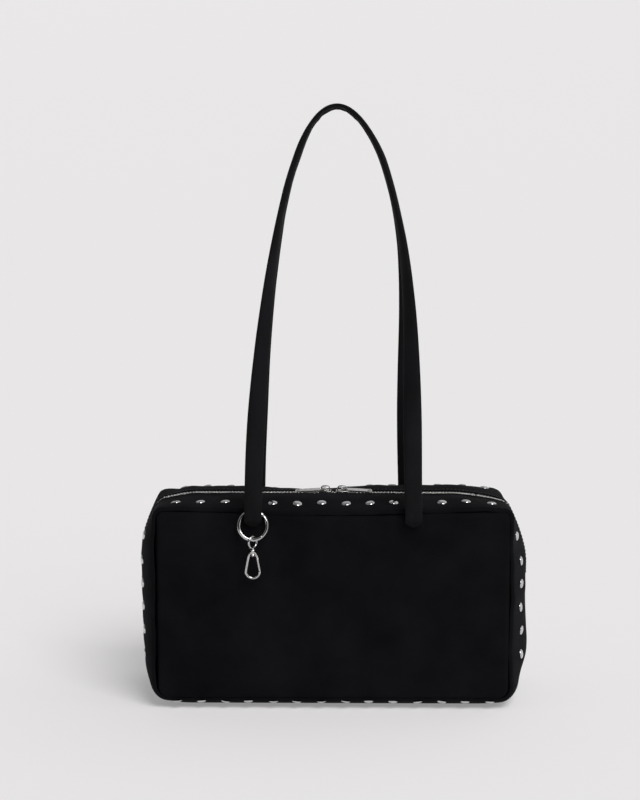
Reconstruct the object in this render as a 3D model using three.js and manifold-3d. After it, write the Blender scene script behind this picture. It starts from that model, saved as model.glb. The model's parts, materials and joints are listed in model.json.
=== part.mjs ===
// A small studded bowler bag: a padded fabric shell with a zip mouth and two sliders, two padded shoulder
// straps, and a spring-gate ring with a swivel clasp. Millimetres, +Z up, the front towards -Y, and the
// origin on the floor under the middle of the base.
import * as THREE from "three";
import { mergeVertices } from "three/addons/utils/BufferGeometryUtils.js";
import loadManifold from "manifold-3d";

// Gap between pieces that touch
const FIT = 0.3;

// Shell, measured along the seams
const PANEL_WIDTH = 280;
const PANEL_HEIGHT = 150;
const PANEL_THICK = 1.8;
const PANEL_CROWN = 1.2;
const TOP_CORNER = 6;
const BASE_CORNER = 9;
const SEAM_DEPTH = 104;
const SEAM_LIFT = 9;
const GUSSET_THICK = 1.4;
const TOP_RISE = 6.5;
const SIDE_BULGE = 14;
const SIDE_SWELL = 44;
const SWELL_LEAD = 6;
const BASE_FADE = 36;
const BASE_FLAT = 54;
const CORNER_STEPS = 4;
const SWELL_STEPS = 4;

// Stiffening and lining
const FOAM_THICK = 2;
const LINING_THICK = 0.8;
const LINING_INSET = 4.2;
const BOARD_THICK = 2;
const BOARD_WIDTH = 226;

// Studs
const STUD_PITCH = 19;
const STUD_RADIUS = 4.2;
const STUD_HEIGHT = 1.5;
const STUD_SHANK = 2;
const STUD_INSET = 16;
const SIDE_STUD_INSET = 21;
const BASE_STUD_INSET = 11;
const STUD_SIDES = 6;
const STUD_CROWN_SHARE = 0.66;
const STUD_RIM_SHARE = 0.75;
const TOP_STUDS = 14;
const FLAP_STUDS = 12;
const SIDE_STUDS = 6;
const ZIP_SIDE_STUDS = 2;
const SIDE_STUD_DROP = 23.5;
const BACKING_WIDTH = 7;
const BACKING_THICK = 0.8;

// Zip
const FLAP_MARGIN = 8;
const TAPE_THICK = 0.7;
const TAPE_LAP = 7;
const CREST_MARGIN = 4;
const TOOTH_PITCH = 2.5;
const TOOTH_THICK = 2.6;
const TOOTH_BACK = 2.2;
const TOOTH_REACH = 0.5;
const TOOTH_ROOT = 0.95;
const TOOTH_SPREAD = 1.4;
const TAB_LENGTH = 14;
const TAB_WIDTH = 18;
const TAB_THICK = 1.2;

// Sliders and pulls
const SLIDER_GAP = 4;
const SLIDER_NOSE = 4;
const SLIDER_TAPER = 4.5;
const SLIDER_TAIL = 1.5;
const SLIDER_WALL = 0.7;
const SLIDER_PLATE = 1;
const POST_LENGTH = 3.2;
const BRIDGE_SETBACK = 1.4;
const BRIDGE_LENGTH = 6.4;
const BRIDGE_WIDTH = 2.2;
const BRIDGE_BAR = 1.15;
const PULL_THICK = 1.3;
const PULL_WIDTH = 4.8;
const PULL_LENGTH = 22;
const PULL_WINDOW = 3.7;
const PULL_HOLE = 1.1;

// Straps
const STRAP_SPACING = 124.8;
const STRAP_WIDTH = 13.2;
const STRAP_THICK = 6.6;
const STRAP_COVER = 1.2;
const STRAP_RISE = 313;
const STRAP_NARROWING = 0.15;
const STRAP_ARCH = 3.15;
const STRAP_ROOT_DROP = 2;
const STRAP_STEPS = 24;
const STRAP_SIDES = 8;
const STRAP_CROWDING = 1.6;
const TWIST_START = 0.2;
const TWIST_END = 0.85;
const ROOT_LENGTH = 7.5;
const ROOT_TIP_WIDTH = 6;
const ROOT_TIP_THICK = 3;
const ROOT_SLOPE = 2.6;
const ROOT_SHOULDER = 4.8;
const ROOT_NARROWS = 6.6;
const KNUCKLE_TURNS = [75, 50, 25, 5];

// Spring-gate ring
const RING_OUTSIDE = 25;
const RING_WIRE = 3;
const RING_TILT = 18;
const RING_PLAY = 1.35;
const RING_SEAT = 0.6;
const GATE_WIRE = 2.6;
const GATE_TOP = 42;
const GATE_BOTTOM = -50;
const GATE_LAP = 1.6;
const GATE_GAP = 0.6;
const PIN_RADIUS = 0.4;
const WIRE_SIDES = 8;
const RING_STEPS = 18;
const GATE_STEPS = 10;

// Swivel clasp
const EYE_INSIDE = 7.2;
const EYE_WIRE = 1.8;
const EYE_TWIST = -40;
const POST_RADIUS = 1;
const COLLAR_RADIUS = 2.2;
const COLLAR_HEIGHT = 4.6;
const RIVET_RADIUS = 1.8;
const RIVET_HEIGHT = 0.8;
const HOOK_WIRE = 2;
const HOOK_WIDTH = 13.6;
const HOOK_LEG = 13;
const HOOK_GATE_WIRE = 1.7;
const HOOK_GATE_DROP = 2.2;
const HOOK_LAP = 1.1;
const HOOK_STEPS = 15;
const BOW_STEPS = 6;

const HALF_WIDTH = PANEL_WIDTH / 2;
const HALF_DEPTH = SEAM_DEPTH / 2;
const SEAM_TOP = SEAM_LIFT + PANEL_HEIGHT;
const PANEL_MIDDLE = SEAM_LIFT + PANEL_HEIGHT / 2;

const { abs, sin, cos, tan, atan, min, max, sign, PI } = Math;
const { degToRad, smoothstep, lerp } = THREE.MathUtils;
const point = (x, y, z) => new THREE.Vector3(x, y, z);
const span = (from, to, steps) => Array.from({ length: steps + 1 }, (_, i) => lerp(from, to, i / steps));

// Solids: a loft through rings, and joining and cutting

const wasm = await loadManifold();
wasm.setup();
const MERGE_WITHIN = 1e-4;

function solidOf(geometry) {
  const bare = geometry.clone();
  bare.deleteAttribute("normal");
  bare.deleteAttribute("uv");
  const merged = mergeVertices(bare, MERGE_WITHIN);
  const vertProperties = merged.attributes.position.array;
  const triVerts = new Uint32Array(merged.index.array);
  return new wasm.Manifold(new wasm.Mesh({ numProp: 3, vertProperties, triVerts }));
}

function geometryOf(solid) {
  const { vertProperties, triVerts } = solid.getMesh();
  const geometry = new THREE.BufferGeometry();
  geometry.setAttribute("position", new THREE.BufferAttribute(vertProperties, 3));
  geometry.setIndex(new THREE.BufferAttribute(triVerts, 1));
  geometry.computeVertexNormals();
  return geometry;
}

const join = (first, ...others) =>
  geometryOf(others.reduce((solid, other) => solid.add(solidOf(other)), solidOf(first)));

const cut = (first, ...tools) =>
  geometryOf(tools.reduce((solid, tool) => solid.subtract(solidOf(tool)), solidOf(first)));

// The end caps are triangulated on a flat outline with one point for each point of the end rings
function loft(rings, outline) {
  const count = rings[0].length;
  const last = (rings.length - 1) * count;
  const index = [];
  for (let ring = 0; ring < last; ring += count) {
    for (let i = 0; i < count; i++) {
      const next = (i + 1) % count;
      const above = ring + count;
      index.push(ring + i, ring + next, above + next, ring + i, above + next, above + i);
    }
  }
  const turn = sign(THREE.ShapeUtils.area(outline));
  for (const face of THREE.ShapeUtils.triangulateShape(outline, [])) {
    const along = sign(THREE.ShapeUtils.area(face.map((i) => outline[i]))) === turn;
    const [a, b, c] = along ? face : face.toReversed();
    index.push(c, b, a, last + a, last + b, last + c);
  }
  const positions = rings.flat().flatMap((p) => p.toArray());
  const geometry = new THREE.BufferGeometry();
  geometry.setAttribute("position", new THREE.Float32BufferAttribute(positions, 3));
  geometry.setIndex(facesOut(positions, index) ? index : index.toReversed());
  geometry.computeVertexNormals();
  return geometry;
}

function facesOut(positions, index) {
  const corner = (i) => new THREE.Vector3().fromArray(positions, 3 * index[i]);
  let volume = 0;
  for (let i = 0; i < index.length; i += 3) {
    volume += corner(i).dot(corner(i + 1).cross(corner(i + 2)));
  }
  return volume > 0;
}

function block(from, to) {
  const size = to.map((t, i) => t - from[i]);
  const middle = to.map((t, i) => (t + from[i]) / 2);
  return new THREE.BoxGeometry(...size).translate(...middle);
}

const ringPoints = (radius, sides) =>
  span(0, 2 * PI, sides).slice(1).map((a) => new THREE.Vector2(radius * cos(a), radius * sin(a)));

function wire(curve, diameter, steps) {
  const section = new THREE.Shape(ringPoints(diameter / 2, WIRE_SIDES));
  return new THREE.ExtrudeGeometry(section, { steps, extrudePath: curve });
}

const slab = (shape, bottom, top) =>
  new THREE.ExtrudeGeometry(shape, { depth: top - bottom, bevelEnabled: false }).translate(0, 0, bottom);

// Seam outline: distance runs from the top centre, to the right and round to the bottom centre

const TOP_RUN = HALF_WIDTH - TOP_CORNER;
const SIDE_START = TOP_RUN + (TOP_CORNER * PI) / 2;
const SIDE_END = SIDE_START + PANEL_HEIGHT - TOP_CORNER - BASE_CORNER;
const BASE_START = SIDE_END + (BASE_CORNER * PI) / 2;
const HALF_ROUND = BASE_START + HALF_WIDTH - BASE_CORNER;
const FLAP_HALF = (FLAP_STUDS / 2) * STUD_PITCH;
const CORNER_MIDDLE = (TOP_RUN + SIDE_START) / 2;
const SWELL_START = TOP_RUN - SWELL_LEAD;
const SWELL_END = SIDE_START + SIDE_SWELL;

function edgeAt(distance) {
  const past = abs(distance) > HALF_ROUND;
  const run = past ? 2 * HALF_ROUND - abs(distance) : abs(distance);
  const side = (distance < 0 ? -1 : 1) * (past ? -1 : 1);
  const topTurn = (min(max(run, TOP_RUN), SIDE_START) - TOP_RUN) / TOP_CORNER;
  const baseTurn = (min(max(run, SIDE_END), BASE_START) - SIDE_END) / BASE_CORNER;
  const turn = topTurn + baseTurn;
  const [nx, nz] = [side * sin(turn), cos(turn)];
  if (run < SIDE_START) {
    const x = min(run, TOP_RUN) + TOP_CORNER * sin(turn);
    return { run, x: side * x, z: SEAM_TOP - TOP_CORNER * (1 - cos(turn)), nx, nz };
  }
  const down = min(run, SIDE_END) - SIDE_START;
  const x = HALF_WIDTH - BASE_CORNER * (1 - cos(baseTurn)) - max(run - BASE_START, 0);
  const z = SEAM_TOP - TOP_CORNER - down - BASE_CORNER * sin(baseTurn);
  return { run, x: side * x, z, nx, nz };
}

// Distances that a strip needs between two ends: the turns of its corners and the fades of its bulge
function stops(from, to) {
  const right = [
    ...span(FLAP_HALF, TOP_RUN, SWELL_STEPS).slice(0, -1),
    ...span(TOP_RUN, SIDE_START, CORNER_STEPS),
    ...span(SIDE_START, SWELL_END, SWELL_STEPS).slice(1),
    SIDE_END - BASE_FADE,
    SIDE_END - BASE_FADE / 2,
    ...span(SIDE_END, BASE_START, CORNER_STEPS),
  ];
  const around = [...right, ...right.map((d) => -d), ...right.map((d) => 2 * HALF_ROUND - d)];
  const inside = around.filter((d) => d > from + FIT && d < to - FIT).sort((a, b) => a - b);
  return [from, ...inside, to];
}

// Gusset skin: the outline, pushed out by a bulge across the depth, less a depth into the fabric

const ZIP_SLOT = TOOTH_BACK + TOOTH_SPREAD + FIT + SLIDER_WALL + FIT;
const TOP_FLAT = 2 * (ZIP_SLOT + TAPE_LAP + CREST_MARGIN);
const crest = (y, flat) => 1 - (max(0, abs(y) - flat / 2) / (HALF_DEPTH - flat / 2)) ** 2;

function bulgeAt(run, y) {
  const top = TOP_RISE * crest(y, TOP_FLAT);
  const side = SIDE_BULGE * crest(y, 0);
  const base = SEAM_LIFT * crest(y, BASE_FLAT);
  const fall = 1 - smoothstep(run, FLAP_HALF, CORNER_MIDDLE);
  const upper = top * fall + side * smoothstep(run, SWELL_START, SWELL_END);
  return lerp(upper, base, smoothstep(run, SIDE_END - BASE_FADE, BASE_START));
}

function skin(distance, y, depth) {
  const { run, x, z, nx, nz } = edgeAt(distance);
  const out = bulgeAt(run, y) - depth;
  return point(x + nx * out, y, z + nz * out);
}

function skinNormal(distance, y) {
  const step = 0.5;
  const along = skin(distance + step, y, 0).sub(skin(distance - step, y, 0));
  const across = skin(distance, y + step, 0).sub(skin(distance, y - step, 0));
  return along.cross(across).normalize();
}

// A strip of fabric: its section is a closed line of [y, depth] pairs, swept along the seam outline
function sweepSection(distances, section) {
  const rings = distances.map((d) => section.map(([y, depth]) => skin(d, y, depth)));
  const { run } = edgeAt(distances[0]);
  return loft(rings, section.map(([y, depth]) => new THREE.Vector2(y, bulgeAt(run, y) - depth)));
}

function strip(distances, across, depth, thick) {
  const outside = across.map((y) => [y, depth]);
  const inside = across.map((y) => [y, depth + thick]).reverse();
  return sweepSection(distances, [...outside, ...inside]);
}

// A flat outline inside the seams
const SEAM_LOOP = stops(-HALF_ROUND, HALF_ROUND).slice(1);

function insetOutline(inset, y) {
  return SEAM_LOOP.map((d) => {
    const { x, z, nx, nz } = edgeAt(d);
    return point(x - nx * inset, y, z - nz * inset);
  });
}

function plate(inset, front, back) {
  const rings = [insetOutline(inset, front), insetOutline(inset, back)];
  return loft(rings, rings[0].map((p) => new THREE.Vector2(p.x, p.z)));
}

// Materials

const finish = (color, roughness, metalness) =>
  new THREE.MeshStandardMaterial({ color, roughness, metalness });
const shellFabric = finish(0x141416, 0.85, 0);
const strapFabric = finish(0x1b1b1e, 0.8, 0);
const tapeFabric = finish(0x101012, 0.9, 0);
const liningFabric = finish(0x2a2a2e, 0.7, 0);
const foam = finish(0x55555a, 0.95, 0);
const board = finish(0x6b5b48, 0.9, 0);
const nickel = finish(0xc9cacc, 0.25, 1);

const bag = new THREE.Group();
const place = (parent, name, geometry, material) => {
  const mesh = new THREE.Mesh(geometry, material);
  mesh.name = name;
  parent.add(mesh);
};

// The back half is the front half turned round
const frontHalf = new THREE.Group();
const backHalf = new THREE.Group();
backHalf.rotation.z = PI;
bag.add(frontHalf, backHalf);
const halves = [["front", frontHalf], ["back", backHalf]];

// Panels, crowned

function crownAt(x, z) {
  const across = x / HALF_WIDTH;
  const up = (z - PANEL_MIDDLE) / (PANEL_HEIGHT / 2);
  return PANEL_CROWN * (1 - across ** 2) * (1 - up ** 2);
}

const CROWN_SHARES = [1, 0.9, 0.65, 0.3];

function panel() {
  const face = CROWN_SHARES.map((share) =>
    insetOutline(0, 0).map((p) => {
      const x = p.x * share;
      const z = PANEL_MIDDLE + (p.z - PANEL_MIDDLE) * share;
      return point(x, -HALF_DEPTH - PANEL_THICK - crownAt(x, z), z);
    }),
  );
  const back = insetOutline(0, -HALF_DEPTH);
  return loft([back, ...face], back.map((p) => new THREE.Vector2(p.x, p.z)));
}

// Stud rows: each stud's shank passes through the fabric into a backing tape

const ZIP_END = SIDE_START + SIDE_STUD_DROP - TOP_CORNER + (ZIP_SIDE_STUDS - 0.5) * STUD_PITCH;
const STUD_ROW = -HALF_DEPTH + STUD_INSET;
const SIDE_STUD_ROW = -HALF_DEPTH + SIDE_STUD_INSET;
const BASE_STUD_ROW = -HALF_DEPTH + BASE_STUD_INSET;
const BACKING_DEPTH = GUSSET_THICK + FIT;

const LAST_STUD = ((TOP_STUDS - 1) / 2) * STUD_PITCH;
const topStuds = span(-LAST_STUD, LAST_STUD, TOP_STUDS - 1);
const sideStuds = span(0, SIDE_STUDS - 1, SIDE_STUDS - 1).map(
  (i) => SIDE_START + SIDE_STUD_DROP - TOP_CORNER + i * STUD_PITCH,
);
const flapSpots = topStuds.filter((d) => abs(d) < FLAP_HALF).map((d) => [d, STUD_ROW]);
const cornerSpots = [
  ...topStuds.filter((d) => d > FLAP_HALF).map((d) => [d, STUD_ROW]),
  ...sideStuds.filter((d) => d < ZIP_END).map((d) => [d, SIDE_STUD_ROW]),
];
const mirroredSpots = cornerSpots.map(([d, y]) => [-d, y]);
const lowSide = sideStuds.filter((d) => d > ZIP_END);
const baseSpots = [
  ...lowSide.map((d) => [d, SIDE_STUD_ROW]),
  ...topStuds.map((x) => [HALF_ROUND - x, BASE_STUD_ROW]),
  ...lowSide.map((d) => [2 * HALF_ROUND - d, SIDE_STUD_ROW]),
];

function standOn(geometry, [distance, y]) {
  const turn = new THREE.Quaternion().setFromUnitVectors(point(0, 1, 0), skinNormal(distance, y));
  return geometry.applyQuaternion(turn).translate(...skin(distance, y, 0).toArray());
}

function stud(spot) {
  const foot = -BACKING_DEPTH - BACKING_THICK / 2;
  const profile = [
    [0, FIT],
    [STUD_RADIUS, FIT],
    [STUD_RADIUS * STUD_CROWN_SHARE, FIT + STUD_HEIGHT * STUD_RIM_SHARE],
    [0, FIT + STUD_HEIGHT],
  ];
  const cap = new THREE.LatheGeometry(profile.map((p) => new THREE.Vector2(...p)), STUD_SIDES);
  const half = STUD_SHANK / 2;
  return standOn(join(cap, block([-half, foot, -half], [half, FIT + STUD_HEIGHT / 2, half])), spot);
}

function studHole(spot) {
  const half = STUD_SHANK / 2 + FIT;
  return standOn(block([-half, -2 * GUSSET_THICK, -half], [half, 2 * GUSSET_THICK, half]), spot);
}

function studRow(spots, from, to, rows) {
  const across = span(min(...rows) - BACKING_WIDTH / 2, max(...rows) + BACKING_WIDTH / 2, 2);
  return join(strip(stops(from, to), across, BACKING_DEPTH, BACKING_THICK), ...spots.map(stud));
}

// Zip bands and mouth flaps: a flap folds out along a line inside the seam margin

const HINGE_Y = -HALF_DEPTH + FLAP_MARGIN;
const BAND_ACROSS = [
  ...span(-HALF_DEPTH + FIT, STUD_ROW, 2),
  ...span(STUD_ROW, SIDE_STUD_ROW, 2).slice(1),
  ...span(SIDE_STUD_ROW, -TOP_FLAT / 2, 2).slice(1),
  -ZIP_SLOT,
];

function zipBand() {
  const whole = strip(stops(-ZIP_END + FIT / 2, ZIP_END - FIT / 2), BAND_ACROSS, 0, GUSSET_THICK);
  const half = FLAP_HALF + FIT / 2;
  const above = SEAM_TOP + 2 * TOP_RISE;
  const mouth = block([-half, HINGE_Y - FIT / 2, SEAM_TOP - TOP_RISE], [half, 0, above]);
  return cut(whole, mouth, ...[...cornerSpots, ...mirroredSpots].map(studHole));
}

function mouthFlap() {
  const across = [HINGE_Y + FIT / 2, ...BAND_ACROSS.filter((y) => y > HINGE_Y + FIT)];
  const whole = strip([-FLAP_HALF + FIT / 2, FLAP_HALF - FIT / 2], across, 0, GUSSET_THICK);
  return cut(whole, ...flapSpots.map(studHole));
}

for (const [name, half] of halves) {
  const backing = STUD_PITCH / 2 - FIT;
  const sideEnd = ZIP_END - FIT;
  const flapEnd = FLAP_HALF - FIT;
  const foamFront = -HALF_DEPTH + FIT;
  place(half, `${name}_panel`, panel(), shellFabric);
  place(half, `${name}_foam`, plate(GUSSET_THICK + FIT, foamFront, foamFront + FOAM_THICK), foam);
  place(half, `${name}_zip_band`, zipBand(), shellFabric);
  place(half, `${name}_mouth_flap`, mouthFlap(), shellFabric);
  place(half, `${name}_flap_studs`, studRow(flapSpots, -flapEnd, flapEnd, [STUD_ROW]), nickel);
  const [right, left] = name === "front" ? ["right", "left"] : ["left", "right"];
  const start = cornerSpots[0][0] - backing;
  const rows = [STUD_ROW, SIDE_STUD_ROW];
  place(half, `${name}_${right}_corner_studs`, studRow(cornerSpots, start, sideEnd, rows), nickel);
  place(half, `${name}_${left}_corner_studs`, studRow(mirroredSpots, -sideEnd, -start, rows), nickel);
  const around = [ZIP_END + FIT, 2 * HALF_ROUND - ZIP_END - FIT];
  place(half, `${name}_base_studs`, studRow(baseSpots, ...around, [SIDE_STUD_ROW, BASE_STUD_ROW]), nickel);
}

// Base gusset, base board and lining

function baseGusset() {
  const edge = HALF_DEPTH - FIT;
  const right = [...span(BASE_FLAT / 2, edge, 4)];
  const across = [...right.map((y) => -y).reverse(), 0, ...right];
  const around = stops(ZIP_END + FIT / 2, 2 * HALF_ROUND - ZIP_END - FIT / 2);
  const backSpots = baseSpots.map(([d, y]) => [d, -y]);
  return cut(strip(around, across, 0, GUSSET_THICK), ...[...baseSpots, ...backSpots].map(studHole));
}

function baseBoard() {
  const bottom = GUSSET_THICK + FIT;
  const [x, y] = [BOARD_WIDTH / 2, BASE_FLAT / 2];
  return block([-x, -y, bottom], [x, y, bottom + BOARD_THICK]);
}

const LINING_FRONT = HALF_DEPTH - FIT - FOAM_THICK - FIT;

function liningTub() {
  const inside = LINING_FRONT - LINING_THICK;
  const top = SEAM_TOP - LINING_INSET;
  const mouth = block([-TOP_RUN, -inside, PANEL_MIDDLE], [TOP_RUN, inside, top + LINING_THICK]);
  return cut(
    plate(LINING_INSET, -LINING_FRONT, LINING_FRONT),
    plate(LINING_INSET + LINING_THICK, -inside, inside),
    mouth,
  );
}

place(bag, "base_gusset", baseGusset(), shellFabric);
place(bag, "base_board", baseBoard(), board);
place(bag, "lining", liningTub(), liningFabric);

// Zip chain: tape and teeth along the mouth, closed chain over the corners

const SLIDER_START = SLIDER_GAP / 2;
const SPREAD_END = SLIDER_START + SLIDER_NOSE;
const CLOSED_FROM = SPREAD_END + SLIDER_TAPER;
const CHAIN_DEPTH = GUSSET_THICK + FIT + TAPE_THICK / 2;
const CHAIN_Z = SEAM_TOP + TOP_RISE - CHAIN_DEPTH;
const CHAIN_HALF = FLAP_HALF - FIT / 2;
const spreadAt = (x) => TOOTH_SPREAD * (1 - min(max((abs(x) - SPREAD_END) / SLIDER_TAPER, 0), 1));
const BACK_STOPS = [-CHAIN_HALF, -CLOSED_FROM, -SPREAD_END, SPREAD_END, CLOSED_FROM, CHAIN_HALF];

// Rows are drawn on the back side, +Y, and turned round for the front
const backLine = (offset) => BACK_STOPS.map((x) => new THREE.Vector2(x, offset + spreadAt(x)));

function zipTape() {
  const outer = ZIP_SLOT + TAPE_LAP;
  const inner = backLine(TOOTH_BACK + FIT);
  const shape = new THREE.Shape([
    new THREE.Vector2(-CHAIN_HALF, outer),
    ...inner,
    new THREE.Vector2(CHAIN_HALF, outer),
  ]);
  return slab(shape, CHAIN_Z - TAPE_THICK / 2, CHAIN_Z + TAPE_THICK / 2);
}

function zipTeeth() {
  const count = Math.floor(CHAIN_HALF / TOOTH_PITCH);
  const saw = span(-count, count, 4 * count).map((i, n) => {
    const x = (i + 0.25) * TOOTH_PITCH;
    return new THREE.Vector2(x, (n % 2 ? TOOTH_ROOT : -TOOTH_REACH) + spreadAt(x));
  });
  const inside = saw.filter((p) => abs(p.x) < CHAIN_HALF - FIT);
  const shape = new THREE.Shape([...backLine(TOOTH_BACK).reverse(), ...inside]);
  return slab(shape, CHAIN_Z - TOOTH_THICK / 2, CHAIN_Z + TOOTH_THICK / 2);
}

function zipEnd(from, to) {
  const tapeEdge = ZIP_SLOT + TAPE_LAP;
  const upper = CHAIN_DEPTH - TAPE_THICK / 2;
  const lower = CHAIN_DEPTH + TAPE_THICK / 2;
  const chainTop = CHAIN_DEPTH - TOOTH_THICK / 2;
  const chainLow = CHAIN_DEPTH + TOOTH_THICK / 2;
  const half = [
    [tapeEdge, lower],
    [tapeEdge, upper],
    [ZIP_SLOT, upper],
    [TOOTH_BACK, upper],
    [TOOTH_BACK, chainTop],
  ];
  const lowHalf = [
    [TOOTH_BACK, chainLow],
    [TOOTH_BACK, lower],
    [ZIP_SLOT, lower],
  ];
  const mirrored = (points) => points.map(([y, depth]) => [-y, depth]).reverse();
  return sweepSection(stops(from, to), [...half, ...mirrored(half), ...mirrored(lowHalf), ...lowHalf]);
}

function zipTab(middle) {
  const across = span(-TAB_WIDTH / 2, TAB_WIDTH / 2, 4);
  const along = span(middle - TAB_LENGTH / 2, middle + TAB_LENGTH / 2, 2);
  return strip(along, across, -FIT - TAB_THICK, TAB_THICK);
}

for (const [name, half] of [["front", backHalf], ["back", frontHalf]]) {
  place(half, `${name}_zip_tape`, zipTape(), tapeFabric);
  place(half, `${name}_zip_teeth`, zipTeeth(), nickel);
}
const END_FROM = FLAP_HALF + FIT / 2;
const END_TO = ZIP_END - FIT / 2;
place(bag, "right_zip_end", zipEnd(END_FROM, END_TO), nickel);
place(bag, "left_zip_end", zipEnd(-END_TO, -END_FROM), nickel);
place(bag, "right_zip_tab", zipTab(ZIP_END), shellFabric);
place(bag, "left_zip_tab", zipTab(-ZIP_END), shellFabric);

// Sliders: two plates round the chain, joined at the nose by a post, with a bridge that holds the pull

const SLIDER_END = CLOSED_FROM + SLIDER_TAIL;
const CHANNEL_HALF = TOOTH_THICK / 2 + FIT;
const PLATE_TOP = CHANNEL_HALF + SLIDER_PLATE;
const LIP_Z = TAPE_THICK / 2 + FIT;
const BAR_Z = PLATE_TOP + FIT + PULL_THICK / 2;
const BAR_SWEEP = PULL_THICK / Math.SQRT2;
const WINDOW_TOP = BAR_Z + BAR_SWEEP + FIT;
const BRIDGE_START = SLIDER_START + BRIDGE_SETBACK;
const BAR_X = BRIDGE_START + BRIDGE_LENGTH / 2;

function sliderOutline(extra, lengthen) {
  const wide = TOOTH_BACK + TOOTH_SPREAD + FIT + extra;
  const slim = TOOTH_BACK + FIT + extra;
  const right = [
    [SLIDER_START - lengthen, wide],
    [SPREAD_END, wide],
    [CLOSED_FROM, slim],
    [SLIDER_END + lengthen, slim],
  ];
  const left = right.map(([x, y]) => [x, -y]).reverse();
  return new THREE.Shape([...right, ...left].map((p) => new THREE.Vector2(...p)));
}

function bridge() {
  const shape = new THREE.Shape();
  const shoulder = WINDOW_TOP + BRIDGE_BAR;
  const end = BRIDGE_START + BRIDGE_LENGTH;
  const foot = PLATE_TOP - SLIDER_PLATE / 2;
  shape.moveTo(BRIDGE_START, foot);
  shape.lineTo(end, foot);
  shape.lineTo(end, shoulder - BRIDGE_BAR);
  shape.lineTo(end - BRIDGE_BAR, shoulder);
  shape.lineTo(BRIDGE_START + BRIDGE_BAR, shoulder);
  shape.lineTo(BRIDGE_START, shoulder - BRIDGE_BAR);
  const solid = new THREE.ExtrudeGeometry(shape, { depth: BRIDGE_WIDTH, bevelEnabled: false });
  solid.translate(0, 0, -BRIDGE_WIDTH / 2).rotateX(PI / 2);
  const window = block(
    [BRIDGE_START + BRIDGE_BAR, -BRIDGE_WIDTH, PLATE_TOP],
    [end - BRIDGE_BAR, BRIDGE_WIDTH, WINDOW_TOP],
  );
  return cut(solid, window);
}

function slider() {
  const shells = [1, -1].map((side) => {
    const [low, high] = side > 0 ? [LIP_Z, PLATE_TOP] : [-PLATE_TOP, -LIP_Z];
    const [from, to] = side > 0 ? [LIP_Z - FIT, CHANNEL_HALF] : [-CHANNEL_HALF, -LIP_Z + FIT];
    return cut(slab(sliderOutline(SLIDER_WALL, 0), low, high), slab(sliderOutline(0, FIT), from, to));
  });
  const nose = SLIDER_START + FIT;
  const half = TOOTH_SPREAD - TOOTH_REACH - FIT;
  const waist = nose + POST_LENGTH / 2;
  const diamond = [[nose, 0], [waist, half], [nose + POST_LENGTH, 0], [waist, -half]];
  const post = new THREE.Shape(diamond.map((p) => new THREE.Vector2(...p)));
  const bite = SLIDER_PLATE / 2;
  return join(...shells, slab(post, -CHANNEL_HALF - bite, CHANNEL_HALF + bite), bridge());
}

// A pull is a flat tab with a window for the bridge, whose end bar turns under the bridge
function pull() {
  const start = BAR_X - PULL_THICK / 2;
  const tip = start + PULL_LENGTH - PULL_WIDTH / 2;
  const tab = new THREE.Shape();
  tab.moveTo(start, -PULL_WIDTH / 2);
  tab.lineTo(tip, -PULL_WIDTH / 2);
  tab.absarc(tip, 0, PULL_WIDTH / 2, -PI / 2, PI / 2);
  tab.lineTo(start, PULL_WIDTH / 2);
  const near = BAR_X + PULL_THICK / 2;
  const far = near + PULL_WINDOW;
  const half = BRIDGE_WIDTH / 2 + FIT;
  const opening = [[near, -half], [far, -half], [far, half], [near, half]];
  tab.holes.push(new THREE.Path(opening.map((p) => new THREE.Vector2(...p))));
  const eye = ringPoints(PULL_HOLE, WIRE_SIDES).map((p) => new THREE.Vector2(p.x + tip, p.y));
  tab.holes.push(new THREE.Path(eye));
  const flat = { depth: PULL_THICK, bevelEnabled: false, curveSegments: CORNER_STEPS };
  return new THREE.ExtrudeGeometry(tab, flat).translate(0, 0, BAR_Z - PULL_THICK / 2);
}

for (const [name, turn] of [["right", 0], ["left", PI]]) {
  const carriage = new THREE.Group();
  carriage.position.z = CHAIN_Z;
  carriage.rotation.z = turn;
  bag.add(carriage);
  place(carriage, `${name}_slider`, slider(), nickel);
  place(carriage, `${name}_pull`, pull(), nickel);
}

// Straps: padded tubes that stand off the panel by the ring's wire, lean together and turn a quarter

const STRAP_X = STRAP_SPACING / 2;
const ROOT_Z = SEAM_TOP - STRAP_ROOT_DROP;
const ROOT_TOP = ROOT_Z - STRAP_THICK / 2 - FIT;
const PANEL_AT_ROOT = HALF_DEPTH + PANEL_THICK + crownAt(STRAP_X, ROOT_TOP - ROOT_LENGTH);
const RING_Y = -PANEL_AT_ROOT - FIT - RING_WIRE / 2;
const STRAP_BACK = RING_Y - RING_WIRE / 2 - RING_PLAY;
const STRAP_Y = STRAP_BACK - STRAP_THICK / 2;
const APEX_Y = -STRAP_WIDTH / 2 - FIT;
const LEAN = atan((APEX_Y - STRAP_Y) / STRAP_RISE);

class StrapLine extends THREE.Curve {
  getPoint(u) {
    const turn = PI * (u - 0.5);
    const rise = cos(turn) ** (2 / STRAP_ARCH);
    const x = STRAP_X * (1 - STRAP_NARROWING * rise) * sin(turn);
    return point(x, STRAP_Y + STRAP_RISE * rise * tan(LEAN), ROOT_Z + STRAP_RISE * rise);
  }
}

const STRAP_OUT = point(0, -cos(LEAN), sin(LEAN));
const STRAP_UP = point(0, sin(LEAN), cos(LEAN));
const strapLine = new StrapLine();
const strapOval = (width, thick) =>
  ringPoints(1, STRAP_SIDES).map((p) => new THREE.Vector2((p.x * width) / 2, (p.y * thick) / 2));

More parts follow.
